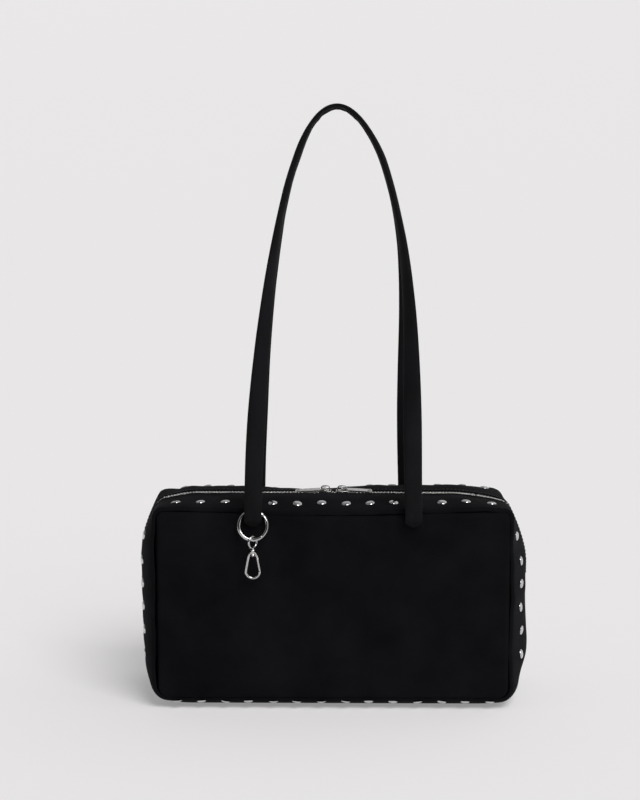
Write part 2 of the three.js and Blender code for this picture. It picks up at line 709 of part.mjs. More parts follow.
function strapRing(u, width, thick) {
  const middle = strapLine.getPointAt(u);
  const atEnd = u === 0 || u === 1;
  const tangent = atEnd ? STRAP_UP.clone().multiplyScalar(u ? -1 : 1) : strapLine.getTangentAt(u);
  const rise = (middle.z - ROOT_Z) / STRAP_RISE;
  const twist = (smoothstep(rise, TWIST_START, TWIST_END) * PI) / 2;
  const broad = new THREE.Vector3().crossVectors(tangent, STRAP_OUT).applyAxisAngle(tangent, twist);
  const narrow = new THREE.Vector3().crossVectors(tangent, broad);
  return strapOval(width, thick).map((p) =>
    middle.clone().addScaledVector(broad, p.x).addScaledVector(narrow, p.y),
  );
}

// Rings stand closer together towards the apex, where the strap bends most
const strapStops = span(-1, 1, STRAP_STEPS).map((w) => (1 + sign(w) * abs(w) ** STRAP_CROWDING) / 2);
const strapRings = (width, thick) => strapStops.map((u) => strapRing(u, width, thick));

function strapCover() {
  const bore = 2 * STRAP_COVER;
  const inner = strapRings(STRAP_WIDTH - bore, STRAP_THICK - bore);
  const beyond = (ring) => ring.map((p) => p.clone().addScaledVector(STRAP_UP, -FIT));
  const tool = [beyond(inner[0]), ...inner, beyond(inner.at(-1))];
  const outer = loft(strapRings(STRAP_WIDTH, STRAP_THICK), strapOval(STRAP_WIDTH, STRAP_THICK));
  return cut(outer, loft(tool, strapOval(STRAP_WIDTH, STRAP_THICK)));
}

// The filler swells below the cover into a half-round knuckle, on which the strap folds down
function strapCore() {
  const less = 2 * (STRAP_COVER + FIT);
  const end = (u) =>
    KNUCKLE_TURNS.map(degToRad).map((turn) =>
      strapRing(u, STRAP_WIDTH, STRAP_THICK * cos(turn)).map((p) =>
        p.addScaledVector(STRAP_UP, -FIT - (STRAP_THICK / 2 - FIT) * sin(turn)),
      ),
    );
  const neck = (ring) => ring.map((p) => p.clone().addScaledVector(STRAP_UP, -FIT));
  const rings = strapRings(STRAP_WIDTH - less, STRAP_THICK - less);
  const all = [...end(0), neck(rings[0]), ...rings, neck(rings.at(-1)), ...end(1).reverse()];
  return loft(all, strapOval(STRAP_WIDTH, STRAP_THICK));
}

// A sewn strap end tapers to a rounded tip on the panel, and its top falls away under the folded strap
function strapRoot(x) {
  const back = -PANEL_AT_ROOT - FIT;
  const front = STRAP_BACK - STRAP_THICK;
  const sections = [
    [0, STRAP_WIDTH, back - STRAP_Y - FIT],
    [ROOT_SLOPE, STRAP_WIDTH, back - front],
    [ROOT_SHOULDER, STRAP_WIDTH, (back - front + ROOT_TIP_THICK) / 2],
    [ROOT_NARROWS, (STRAP_WIDTH + ROOT_TIP_WIDTH) / 2, ROOT_TIP_THICK],
    [ROOT_LENGTH, ROOT_TIP_WIDTH, ROOT_TIP_THICK - 3 * FIT],
  ];
  const rings = sections.map(([down, width, thick]) =>
    strapOval(width, thick).map((p) => point(x + p.x, back - thick / 2 + p.y, ROOT_TOP - down)),
  );
  return loft(rings, strapOval(STRAP_WIDTH, STRAP_THICK));
}

for (const [name, half] of halves) {
  const [right, left] = name === "front" ? ["right", "left"] : ["left", "right"];
  place(half, `${name}_strap`, strapCover(), strapFabric);
  place(half, `${name}_strap_core`, strapCore(), foam);
  place(half, `${name}_${right}_strap_root`, strapRoot(STRAP_X), strapFabric);
  place(half, `${name}_${left}_strap_root`, strapRoot(-STRAP_X), strapFabric);
}

// Spring-gate ring round the left front strap: it turns on its top arc, behind the strap

class Arc extends THREE.Curve {
  constructor(radius, from, to) {
    super();
    Object.assign(this, { radius, from, to });
  }

  getPoint(t) {
    const turn = lerp(this.from, this.to, t);
    return point(this.radius * cos(turn), 0, this.radius * sin(turn));
  }
}

const RING_MIDDLE = (RING_OUTSIDE - RING_WIRE) / 2;
const RING_TOP_Z = skin(0, RING_Y + RING_WIRE, 0).z + RING_WIRE / 2 + RING_SEAT;
const ring = new THREE.Group();
ring.position.set(-STRAP_X, RING_Y, RING_TOP_Z);
ring.rotation.x = -degToRad(RING_TILT);
bag.add(ring);

const gateHinge = point(cos(degToRad(GATE_TOP)), 0, sin(degToRad(GATE_TOP))).multiplyScalar(RING_MIDDLE);
const crossPin = (radius, length, at) =>
  new THREE.CylinderGeometry(radius, radius, length, WIRE_SIDES).translate(at.x, at.y, at.z);

// Two wires overlap at a hinge, each cut to its own half of the thickness round the pin
function lapCut(side, radius, at, diameter) {
  const disc = new THREE.CylinderGeometry(radius, radius, diameter, 2 * WIRE_SIDES);
  return disc.translate(at.x, at.y + side * (diameter / 2 - FIT / 2), at.z);
}

// The gate's tip and the ring part along a level cut, so that the tip swings in over the ring's end
const GATE_CUT = RING_MIDDLE * sin(degToRad(GATE_BOTTOM));
const SLANT = RING_WIRE / RING_MIDDLE;
const gateSide = (bottom, top) => block([0, -RING_WIRE, bottom], [RING_OUTSIDE, RING_WIRE, top]);

function ringBody() {
  const lap = GATE_LAP / RING_MIDDLE;
  const end = 2 * PI + degToRad(GATE_BOTTOM) + SLANT;
  const body = wire(new Arc(RING_MIDDLE, degToRad(GATE_TOP) - lap, end), RING_WIRE, RING_STEPS);
  const lapRadius = GATE_LAP + 2 * FIT;
  return cut(
    body,
    gateSide(GATE_CUT - GATE_GAP / 2, 0),
    lapCut(1, lapRadius, gateHinge, 2 * RING_WIRE),
    crossPin(PIN_RADIUS + FIT, 2 * RING_WIRE, gateHinge),
  ).translate(0, 0, -RING_MIDDLE);
}

function ringGate() {
  const lap = GATE_LAP / RING_MIDDLE;
  const arc = new Arc(RING_MIDDLE, degToRad(GATE_BOTTOM) - SLANT, degToRad(GATE_TOP) + lap);
  const lapRadius = GATE_LAP + (RING_WIRE - GATE_WIRE) / 2 + 3 * FIT;
  return cut(
    wire(arc, GATE_WIRE, GATE_STEPS),
    gateSide(-RING_OUTSIDE, GATE_CUT + GATE_GAP / 2),
    lapCut(-1, lapRadius, gateHinge, 2 * RING_WIRE),
    crossPin(PIN_RADIUS + FIT, 2 * RING_WIRE, gateHinge),
  ).translate(0, 0, -RING_MIDDLE);
}

place(ring, "gate_ring", ringBody(), nickel);
place(ring, "ring_gate", ringGate(), nickel);
const ringPin = crossPin(PIN_RADIUS, GATE_WIRE, gateHinge).translate(0, 0, -RING_MIDDLE);
place(ring, "ring_gate_pin", ringPin, nickel);

// Swivel clasp, hanging on the bottom of the ring: eye with its post, hook with its collar, spring gate

const EYE_MIDDLE = (EYE_INSIDE + EYE_WIRE) / 2;
const EYE_DROP = EYE_INSIDE / 2 - RING_WIRE / 2 - FIT;
const COLLAR_TOP = -EYE_DROP - EYE_MIDDLE - EYE_WIRE / 2 - FIT;
const COLLAR_BOTTOM = COLLAR_TOP - COLLAR_HEIGHT;
const HOOK_REACH = (HOOK_WIDTH - HOOK_WIRE) / 2;
const HOOK_CENTRE = COLLAR_BOTTOM - HOOK_LEG;
const SHOULDER_X = RIVET_RADIUS + FIT + HOOK_WIRE / 2;
const SHOULDER_Z = COLLAR_BOTTOM - HOOK_WIRE / 2;
const HOOK_ROOT = point(COLLAR_RADIUS - HOOK_WIRE / 4, 0, COLLAR_BOTTOM + COLLAR_HEIGHT / 3);
const hookHinge = point(SHOULDER_X + HOOK_WIRE / 4, 0, SHOULDER_Z - HOOK_GATE_DROP);
const hookTip = point(HOOK_REACH, 0, HOOK_CENTRE);
const clasp = new THREE.Group();
const ringDrop = 2 * RING_MIDDLE;
clasp.position.set(
  -STRAP_X,
  RING_Y - ringDrop * sin(degToRad(RING_TILT)),
  RING_TOP_Z - ringDrop * cos(degToRad(RING_TILT)),
);
bag.add(clasp);

function upright(radius, bottom, top) {
  const rod = new THREE.CylinderGeometry(radius, radius, top - bottom, WIRE_SIDES);
  return rod.rotateX(PI / 2).translate(0, 0, (bottom + top) / 2);
}

function claspEye() {
  const loop = new THREE.TorusGeometry(EYE_MIDDLE, EYE_WIRE / 2, WIRE_SIDES, 2 * WIRE_SIDES);
  loop.rotateY(PI / 2).rotateZ(degToRad(EYE_TWIST)).translate(0, 0, -EYE_DROP);
  const headTop = COLLAR_BOTTOM - FIT;
  const post = upright(POST_RADIUS, headTop - RIVET_HEIGHT / 2, -EYE_DROP - EYE_MIDDLE);
  return join(loop, post, upright(RIVET_RADIUS, headTop - RIVET_HEIGHT, headTop));
}

function claspHook() {
  const leg = [point(-HOOK_ROOT.x, 0, HOOK_ROOT.z), point(-SHOULDER_X, 0, SHOULDER_Z)];
  const bow = span(PI, 2 * PI, BOW_STEPS).map((turn) =>
    point(HOOK_REACH * cos(turn), 0, HOOK_CENTRE + HOOK_REACH * sin(turn)),
  );
  const frame = wire(new THREE.CatmullRomCurve3([...leg, ...bow]), HOOK_WIRE, HOOK_STEPS);
  const past = hookHinge.clone().sub(HOOK_ROOT).setLength(HOOK_LAP).add(hookHinge);
  const stub = wire(new THREE.LineCurve3(HOOK_ROOT, past), HOOK_WIRE, 1);
  const collar = upright(COLLAR_RADIUS, COLLAR_BOTTOM, COLLAR_TOP);
  const headRoom = RIVET_RADIUS + FIT;
  return cut(
    join(collar, frame, stub),
    upright(POST_RADIUS + FIT, COLLAR_BOTTOM - HOOK_WIRE, COLLAR_TOP + FIT),
    upright(headRoom, COLLAR_BOTTOM - HOOK_LEG / 2, COLLAR_BOTTOM),
    lapCut(1, HOOK_LAP + 2 * FIT, hookHinge, 2 * HOOK_WIRE),
    crossPin(PIN_RADIUS + FIT, 2 * HOOK_WIRE, hookHinge),
  );
}

function claspGate() {
  const along = hookTip.clone().sub(hookHinge);
  const start = along.clone().setLength(-HOOK_LAP).add(hookHinge);
  const end = along.clone().setLength(along.length() - 2 * FIT).add(hookHinge);
  return cut(
    wire(new THREE.LineCurve3(start, end), HOOK_GATE_WIRE, 1),
    lapCut(-1, HOOK_LAP + 3 * FIT, hookHinge, 2 * HOOK_WIRE),
    crossPin(PIN_RADIUS + FIT, 2 * HOOK_WIRE, hookHinge),
  );
}

place(clasp, "clasp_eye", claspEye(), nickel);
place(clasp, "clasp_hook", claspHook(), nickel);
place(clasp, "clasp_gate", claspGate(), nickel);
place(clasp, "clasp_gate_pin", crossPin(PIN_RADIUS, HOOK_GATE_WIRE, hookHinge), nickel);

export default bag;
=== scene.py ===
# A small black fabric bowler bag: padded panels sewn to a studded gusset, a two-way metal zip across the
# top, two padded shoulder straps, and a spring-gate ring with a swivel clasp. Lengths are in metres.
import json
import math
import random

import bmesh
import bpy
from mathutils import Matrix, Vector, noise


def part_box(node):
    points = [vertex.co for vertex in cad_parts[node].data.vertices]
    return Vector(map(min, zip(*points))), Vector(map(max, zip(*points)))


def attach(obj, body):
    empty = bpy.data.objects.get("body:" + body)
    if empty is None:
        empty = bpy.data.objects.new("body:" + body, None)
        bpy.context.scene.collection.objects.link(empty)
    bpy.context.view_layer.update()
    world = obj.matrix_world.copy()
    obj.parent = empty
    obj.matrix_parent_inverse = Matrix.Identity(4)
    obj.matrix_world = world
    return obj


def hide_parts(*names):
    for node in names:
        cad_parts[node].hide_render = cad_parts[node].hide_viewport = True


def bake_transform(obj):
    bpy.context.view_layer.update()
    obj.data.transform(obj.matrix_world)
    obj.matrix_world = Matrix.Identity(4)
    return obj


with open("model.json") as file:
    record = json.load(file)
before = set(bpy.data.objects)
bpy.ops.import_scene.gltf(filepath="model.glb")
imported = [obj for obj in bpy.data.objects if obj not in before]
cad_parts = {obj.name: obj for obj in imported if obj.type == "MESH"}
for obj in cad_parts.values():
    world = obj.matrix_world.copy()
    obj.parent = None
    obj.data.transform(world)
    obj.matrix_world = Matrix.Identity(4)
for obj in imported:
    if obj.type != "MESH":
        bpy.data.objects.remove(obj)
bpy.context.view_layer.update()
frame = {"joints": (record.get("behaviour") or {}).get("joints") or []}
scene = bpy.context.scene

# The camera stands in front of the bag and looks a little down on it, through a long lens. It is turned
# slightly to the left, and the picture's tones are not graded.
CAMERA_PLACE = (0.0095, -1.75, 0.5333)
CAMERA_DOWN = math.radians(9.534)
CAMERA_TURN = math.radians(0.67)
FILM = 36
LENS = 100.4

optics = bpy.data.cameras.new("camera")
optics.sensor_width = FILM
optics.lens = LENS
camera = bpy.data.objects.new("camera", optics)
camera.location = CAMERA_PLACE
camera.rotation_euler = (math.pi / 2 - CAMERA_DOWN, 0, CAMERA_TURN)
scene.collection.objects.link(camera)
scene.camera = camera
scene.view_settings.view_transform = "Standard"

# The studio is a plain pale floor, faintly lit, that curves up far from the bag. The room is brighter on
# the right, and dark round the camera and overhead. One soft lamp hangs in front, to the right.
FLOOR_COLOUR = (0.64, 0.628, 0.633, 1)
FLOOR_LIGHT = (1, 0.985, 0.99, 1)
FLOOR_GLOW = 0.278
FLOOR_HALF = 40
FLOOR_CELLS = 64
FLOOR_FLAT = 3
FLOOR_RISE = 2.4
ROOM_COLOUR = (1, 0.995, 1, 1)
ROOM_LEFT = 0.15
ROOM_RIGHT = 0.85
ROOM_DARK = 0.04
CEILING = 0.4
CEILING_FROM = 0.75
DARK_WITHIN = math.cos(math.radians(24))
BRIGHT_BEYOND = math.cos(math.radians(56))
LAMP_FROM = Vector((0.45, -0.9, 1.1))
LAMP_POWER = 2.0
LAMP_SPREAD = math.radians(34)


def add_node(tree, kind, settings=None, inputs=None):
    """One node with its settings, and its inputs, each a plain value or another node's output."""
    node = tree.nodes.new(kind)
    for name, value in (settings or {}).items():
        setattr(node, name, value)
    for name, value in (inputs or {}).items():
        if isinstance(value, bpy.types.NodeSocket):
            tree.links.new(value, node.inputs[name])
        else:
            node.inputs[name].default_value = value
    return node


def math_node(tree, operation, first, second=0.0):
    """One step of arithmetic."""
    return add_node(tree, "ShaderNodeMath", {"operation": operation}, {0: first, 1: second}).outputs[0]


def remap(tree, value, before, after):
    """A value moved from one range, low and high, to another."""
    ranges = dict(zip(("From Min", "From Max", "To Min", "To Max"), (*before, *after)))
    return add_node(tree, "ShaderNodeMapRange", {}, {"Value": value, **ranges}).outputs["Result"]


def object_place(tree):
    """The place on the object, in metres."""
    return add_node(tree, "ShaderNodeTexCoord").outputs["Object"]


def cloudy(tree, place, scale, detail):
    """Soft noise over a place."""
    inputs = {"Vector": place, "Scale": scale, "Detail": detail}
    return add_node(tree, "ShaderNodeTexNoise", {}, inputs).outputs["Fac"]


def relief(tree, height, **amounts):
    """The normal of a surface that rises and falls by height."""
    return add_node(tree, "ShaderNodeBump", {}, {"Height": height, **amounts}).outputs["Normal"]


def finish_material(name, plain, linked):
    """A material whose shader has these plain values, and the outputs that linked(tree) gives."""
    material = bpy.data.materials.new(name)
    material.use_nodes = True
    tree = material.node_tree
    shader = tree.nodes["Principled BSDF"]
    for socket, value in plain.items():
        shader.inputs[socket].default_value = value
    for socket, output in linked(tree).items():
        tree.links.new(output, shader.inputs[socket])
    return material


def floor_grain(tree):
    """The faint tooth of a painted floor."""
    grain = cloudy(tree, object_place(tree), scale=900.0, detail=2.0)
    return {"Normal": relief(tree, grain, Strength=0.03)}


floor_bm = bmesh.new()
bmesh.ops.create_grid(floor_bm, x_segments=FLOOR_CELLS, y_segments=FLOOR_CELLS, size=FLOOR_HALF)
for vert in floor_bm.verts:
    vert.co.z = FLOOR_RISE * (max(0, vert.co.length - FLOOR_FLAT) / FLOOR_HALF) ** 2
floor_mesh = bpy.data.meshes.new("floor")
floor_bm.to_mesh(floor_mesh)
floor_bm.free()
floor_paint = finish_material(
    "pale_floor",
    {
        "Base Color": FLOOR_COLOUR,
        "Roughness": 0.9,
        "Specular IOR Level": 0.0,
        "Emission Color": FLOOR_LIGHT,
        "Emission Strength": FLOOR_GLOW,
    },
    floor_grain,
)
floor_mesh.materials.append(floor_paint)
floor = bpy.data.objects.new("floor", floor_mesh)
scene.collection.objects.link(floor)

room = bpy.data.worlds.new("room")
room.use_nodes = True
scene.world = room
air = room.node_tree
outlook = add_node(air, "ShaderNodeTexCoord").outputs["Generated"]
sight = {0: outlook, 1: Vector(CAMERA_PLACE).normalized()}
toward = add_node(air, "ShaderNodeVectorMath", {"operation": "DOT_PRODUCT"}, sight).outputs["Value"]
aim = add_node(air, "ShaderNodeSeparateXYZ", {}, {"Vector": outlook}).outputs
round_camera = remap(air, toward, (BRIGHT_BEYOND, DARK_WITHIN), (1.0, ROOM_DARK))
left_to_right = remap(air, aim["X"], (-1.0, 1.0), (ROOM_LEFT, ROOM_RIGHT))
overhead = remap(air, aim["Z"], (CEILING_FROM, 1.0), (1.0, CEILING))
glow = math_node(air, "MULTIPLY", math_node(air, "MULTIPLY", round_camera, left_to_right), overhead)
backdrop = air.nodes["Background"].inputs
air.links.new(glow, backdrop["Strength"])
backdrop["Color"].default_value = ROOM_COLOUR
light = bpy.data.lights.new("soft_lamp", "SUN")
light.energy = LAMP_POWER
light.angle = LAMP_SPREAD
lamp = bpy.data.objects.new("soft_lamp", light)
lamp.rotation_euler = LAMP_FROM.to_track_quat("Z", "Y").to_euler()
scene.collection.objects.link(lamp)

# The base gusset is one band of black twill, up both sides and across the bottom, sewn to both panels with
# a turned seam. It swells between the seams, and the studs pull small dimples into it.
panel_low, panel_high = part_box("front_panel")
SEAM_HALF = panel_high.x
SEAM_TOP = panel_high.z
SEAM_LOW = panel_low.z
HALF_DEPTH = -panel_high.y
TOP_CORNER = 0.006
BASE_CORNER = 0.009
TOP_RUN = SEAM_HALF - TOP_CORNER
SIDE_START = TOP_RUN + TOP_CORNER * math.pi / 2
SIDE_END = SIDE_START + SEAM_TOP - SEAM_LOW - TOP_CORNER - BASE_CORNER
BASE_START = SIDE_END + BASE_CORNER * math.pi / 2
HALF_ROUND = BASE_START + SEAM_HALF - BASE_CORNER
TOP_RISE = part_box("front_mouth_flap")[1].z - SEAM_TOP
TOP_FLAT = 0.0318
CORNER_MIDDLE = (TOP_RUN + SIDE_START) / 2
CORNER_TUCK = 0.0015
CORNER_REACH = 0.008
SIDE_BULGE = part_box("base_gusset")[1].x - SEAM_HALF
LOW_BULGE_MIDDLE = SIDE_END - 0.031
LOW_BULGE_REACH = 0.022
BASE_FLAT = 0.060
BASE_TUCK_REACH = 0.012

# These differ from side to side: the right one is first, then the left one.
FALL_START = (0.095, 0.106)
FALL_END = (CORNER_MIDDLE, 0.1395)
FALL_BEND = (1.5, 2.0)
BULGE_SHARE = (1, 0.9)
BULGE_BEND = (2, 4)
LOW_BULGE = (0.0015, 0)
SWELL_START = (TOP_RUN - 0.006, TOP_RUN - 0.010)
SWELL_FULL = (SIDE_START + 0.040, SIDE_START + 0.026)
BASE_FADE = (0.022, 0.036)
BASE_TUCK = (0.003, 0.0075)
BACK_DROP = (0.004, 0.0026)
BACK_DROP_FROM = (0.128, 0.114)
BACK_PEAK = (0, 0.0056)

# How the top edges slump. Each value named BETWEEN is where a change starts and where it is full.
BACK_DROP_REACH = 0.014
BACK_PEAK_BETWEEN = (0.135, 0.147)
BACK_DIP = 0.0043
BACK_DIP_MIDDLE = -0.018
BACK_DIP_REACH = 0.036
BACK_BETWEEN = (-0.012, HALF_DEPTH)
MIDDLE_LIFT = 0.0010
SIDE_LIFT = 0.0028
SIDE_LIFT_BETWEEN = (0.03, 0.09)
FRONT_BETWEEN = (0.008, 0.052)
SLUMP_BETWEEN = (0.12, SEAM_TOP)
SEAM_SAG = 0.0012

ROLL_WIDE = 0.0036
ROLL_RADIUS = 0.0024
ROLL_FROM = math.radians(23)
ROLL_TO = math.radians(112)
GUSSET_THICK = 0.0014
FLAP_HALF = 0.114
STUD_PITCH = 0.019
TOP_STUDS = 14
SIDE_STUDS = 6
STUD_ROW = 0.036
SIDE_STUD_ROW = 0.031
SIDE_STUD_FIRST = SIDE_START + 0.0175
ZIP_END = SIDE_STUD_FIRST + 1.5 * STUD_PITCH
BASE_STUD_ROW = 0.0478
BACK_STUD_ROW = 0.0425
BACK_CORNER_ROW = 0.0450
STUD_DIMPLE = 0.0007
STUD_PULL = 0.0055
SLACK = 0.0017
SLACK_BETWEEN = (0.004, 0.013)
BROAD_PUCKERS = (22, 20)
FINE_PUCKERS = (70, 24)
FINE_SHARE = 0.45
CLOTH_CELL = 0.0019
SHARP = math.radians(38)


def clamp(value):
    """The value kept between 0 and 1."""
    return min(max(value, 0), 1)


def smoothstep(value, low, high):
    """A soft step from 0 at low to 1 at high."""
    share = clamp((value - low) / (high - low))
    return share * share * (3 - 2 * share)


def lerp(low, high, share):
    """The value at a share of the way from low to high."""
    return low + (high - low) * share


def hump(value, middle, reach):
    """A soft hump, 1 at the middle."""
    return math.exp(-(((value - middle) / reach) ** 2))


def ripple(place, waves, seed):
    """Smooth noise at a place on cloth, with its own number of waves each way."""
    return noise.noise(Vector((place[0] * waves[0], place[1] * waves[1], seed)))


def seam_line(run):
    """Place on the panel seam and its outward direction, run metres from the middle of the top edge."""
    side = math.copysign(1, run)
    run = abs(run)
    if run < TOP_RUN:
        x, z, turn = run, SEAM_TOP, 0
    elif run < SIDE_START:
        turn = (run - TOP_RUN) / TOP_CORNER
        x = TOP_RUN + TOP_CORNER * math.sin(turn)
        z = SEAM_TOP - TOP_CORNER * (1 - math.cos(turn))
    elif run < SIDE_END:
        x, z, turn = SEAM_HALF, SEAM_TOP - TOP_CORNER - (run - SIDE_START), math.pi / 2
    elif run < BASE_START:
        turn = math.pi / 2 + (run - SIDE_END) / BASE_CORNER
        x = SEAM_HALF - BASE_CORNER * (1 - math.sin(turn))
        z = SEAM_LOW + BASE_CORNER * (1 + math.cos(turn))
    else:
        x, z, turn = HALF_ROUND - run, SEAM_LOW, math.pi
    return Vector((side * x, 0, z)), Vector((side * math.sin(turn), 0, math.cos(turn)))


def crest(y, flat, bend=2):
    """The round of the cloth from seam to seam: 1 over its flat middle, 0 at the seams."""
    return 1 - (max(0, abs(y) - flat / 2) / (HALF_DEPTH - flat / 2)) ** bend


def swell(run, y):
    """How far the cloth stands out from the seam line. The left side is boxier than the right one."""
    left = run < 0
    run = abs(run)
    start = FALL_START[left]
    fall = clamp((run - start) / (FALL_END[left] - start)) ** FALL_BEND[left]
    side = BULGE_SHARE[left] * SIDE_BULGE + LOW_BULGE[left] * hump(run, LOW_BULGE_MIDDLE, LOW_BULGE_REACH)
    side *= crest(y, 0, BULGE_BEND[left]) * smoothstep(run, SWELL_START[left], SWELL_FULL[left])
    upper = TOP_RISE * crest(y, TOP_FLAT) * (1 - fall) + side
    upper -= CORNER_TUCK * crest(y, 0) * hump(run, CORNER_MIDDLE, CORNER_REACH)
    base = SEAM_LOW * crest(y, BASE_FLAT)
    low = BASE_TUCK[left] * crest(y, 0) * hump(run, (SIDE_END + BASE_START) / 2, BASE_TUCK_REACH)
    return lerp(upper, base, smoothstep(run, SIDE_END - BASE_FADE[left], BASE_START)) - low


down_runs = [SIDE_STUD_FIRST + STUD_PITCH * step for step in range(SIDE_STUDS)]
side_runs = [side * run for run in down_runs for side in (1, -1)]
top_runs = [STUD_PITCH * (step - (TOP_STUDS - 1) / 2) for step in range(TOP_STUDS)]
base_runs = [math.copysign(HALF_ROUND - abs(x), x) for x in top_runs]
stud_spots = []
for across in (-1, 1):
    stud_spots += [(run, across * SIDE_STUD_ROW) for run in side_runs]
    stud_spots += [(run, across * BASE_STUD_ROW) for run in base_runs]
for run in top_runs:
    stud_spots += [(run, -STUD_ROW), (run, BACK_STUD_ROW if abs(run) < FLAP_HALF else BACK_CORNER_ROW)]


def slack(run, y):
    """Small lifts and dips of the cloth: the stud dimples, soft puckers and the sag of the top seams."""
    side = math.copysign(1, y)
    lift = 0
    for spot, row in stud_spots:
        if abs(run - spot) < 3 * STUD_PULL:
            reach = (run - spot) ** 2 + (y - row) ** 2
            lift -= STUD_DIMPLE * math.exp(-reach / STUD_PULL**2)
    free = smoothstep(abs(y), *SLACK_BETWEEN)
    free *= 1 - smoothstep(abs(run), SIDE_END - BASE_FADE[1], BASE_START)
    broad = ripple((run, y), BROAD_PUCKERS, seed=2.3 + side)
    fine = ripple((run, y), FINE_PUCKERS, seed=5.1 + side)
    lift += SLACK * free * (broad + FINE_SHARE * fine)
    return lift - SEAM_SAG * (y / HALF_DEPTH) ** 2 * max(0, 1 - (run / TOP_RUN) ** 2)


def settle(place):
    """The slump of the soft body: its back top edge hangs in the middle and towards its ends but stands up at
    the left corner, and its front top edge stands higher at the sides."""
    aside = abs(place.x)
    left = place.x < 0
    corner = BACK_DROP_FROM[left]
    dip = BACK_DIP * hump(place.x, BACK_DIP_MIDDLE, BACK_DIP_REACH)
    dip += BACK_DROP[left] * smoothstep(aside, corner, corner + BACK_DROP_REACH)
    dip -= BACK_PEAK[left] * smoothstep(aside, *BACK_PEAK_BETWEEN)
    lift = lerp(MIDDLE_LIFT, SIDE_LIFT, smoothstep(aside, *SIDE_LIFT_BETWEEN))
    lift *= smoothstep(-place.y, *FRONT_BETWEEN)
    lift -= dip * smoothstep(place.y, *BACK_BETWEEN)
    return place + Vector((0, 0, lift * smoothstep(place.z, *SLUMP_BETWEEN)))


def skin(run, y):
    """A point of the gusset's outer face, which rolls over and in to the seam along both edges."""
    run = (run + HALF_ROUND) % (2 * HALF_ROUND) - HALF_ROUND
    place, out = seam_line(run)
    inner = HALF_DEPTH - ROLL_WIDE
    rolled = max(0, abs(y) - inner) / ROLL_WIDE
    turn = lerp(ROLL_FROM, ROLL_TO, rolled)
    push = ROLL_WIDE - ROLL_RADIUS * (math.sin(ROLL_TO) - math.sin(ROLL_FROM))
    depth = min(abs(y), inner) + push * smoothstep(abs(y), STUD_ROW, inner)
    depth += ROLL_RADIUS * (math.sin(turn) - math.sin(ROLL_FROM))
    stand = swell(run, min(abs(y), inner)) + slack(run, y)
    stand -= ROLL_RADIUS * (math.cos(ROLL_FROM) - math.cos(turn))
    return settle(place + out * stand + Vector((0, math.copysign(depth, y), 0)))


def cloth_sheet(along, across, flat, shape, thickness, keep=None):
    """Cloth cut to flat(u, v), in metres, and brought into shape(s, t), with its weave on the cut cloth."""
    bm = bmesh.new()
    weave = bm.loops.layers.uv.new("cloth")
    bmesh.ops.create_grid(bm, x_segments=along, y_segments=across, size=0.5)
    for vert in bm.verts:
        vert.co.xy = flat(vert.co.x + 0.5, vert.co.y + 0.5)
    if keep:
        cut = [face for face in bm.faces if not keep(*face.calc_center_median().xy)]
        bmesh.ops.delete(bm, geom=cut, context="FACES")
    for face in bm.faces:
        for loop in face.loops:
            loop[weave].uv = loop.vert.co.xy
    for vert in bm.verts:
        vert.co = shape(vert.co.x, vert.co.y)
    bm.normal_update()
    if thickness:
        bmesh.ops.solidify(bm, geom=bm.faces[:], thickness=thickness)
    return bm


def graded(share, stops, cells):
    """The place at a share of a row of cells that are spread evenly between stops."""
    count = share * sum(cells)
    for low, high, step in zip(stops, stops[1:], cells):
        if count <= step + 1e-6:
            return lerp(low, high, count / step)
        count -= step
    return stops[-1]


def make_piece(name, bm, material, slot, *nodes):
    """The finished piece, smooth except over its sharp edges, in place of these solids."""
    mesh = bpy.data.meshes.new(name)
    bm.to_mesh(mesh)
    bm.free()
    mesh.shade_smooth()
    mesh.set_sharp_from_angle(angle=SHARP)
    mesh.materials.append(material)
    obj = bpy.data.objects.new(name, mesh)
    scene.collection.objects.link(obj)
    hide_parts(*nodes)
    return obj


def new_group(name, inputs, outputs):
    """An empty node group with these inputs, each a socket kind and a value, and these outputs."""
    group = bpy.data.node_groups.new(name, "ShaderNodeTree")
    for label, (kind, value) in inputs.items():
        socket = group.interface.new_socket(label, in_out="INPUT", socket_type=kind)
        if value is not None:
            socket.default_value = value
    for label in outputs:
        group.interface.new_socket(label, in_out="OUTPUT", socket_type="NodeSocketFloat")
    return group


def make_twill():
    """Twill: each thread floats over two and under two, one step further on in each row."""
    group = new_group(
        "twill",
        {"Cloth": ("NodeSocketVector", None), "Threads": ("NodeSocketFloat", 1700.0)},
        ("Height", "Fleck"),
    )
    start = add_node(group, "NodeGroupInput").outputs
    counted = {0: start["Cloth"], "Scale": start["Threads"]}
    threads = add_node(group, "ShaderNodeVectorMath", {"operation": "SCALE"}, counted).outputs["Vector"]
    parts = add_node(group, "ShaderNodeSeparateXYZ", {}, {"Vector": threads}).outputs
    warp, weft = parts["X"], parts["Y"]
    row = math_node(group, "ADD", math_node(group, "FLOOR", warp), math_node(group, "FLOOR", weft))
    over = math_node(group, "LESS_THAN", math_node(group, "FLOORED_MODULO", row, 4.0), 1.5)
    rounds = [
        math_node(group, "ABSOLUTE", math_node(group, "SINE", math_node(group, "MULTIPLY", thread, math.pi)))
        for thread in (warp, weft)
    ]
    height = add_node(group, "ShaderNodeMix", {}, {"Factor": over, "A": rounds[1], "B": rounds[0]}).outputs[0]
    fleck = cloudy(group, threads, scale=0.9, detail=2.0)
    add_node(group, "NodeGroupOutput", {}, {"Height": height, "Fleck": fleck})
    return group


twill = make_twill()


def two_tones(tree, share, first, second, low=0.0, high=1.0):
    """A colour between two, by a share that runs from low to high."""
    ramp = add_node(tree, "ShaderNodeValToRGB", {}, {"Fac": share})
    for stop, place, colour in zip(ramp.color_ramp.elements, (low, high), (first, second)):
        stop.position = place
        stop.color = (*colour, 1)
    return ramp.outputs["Color"]


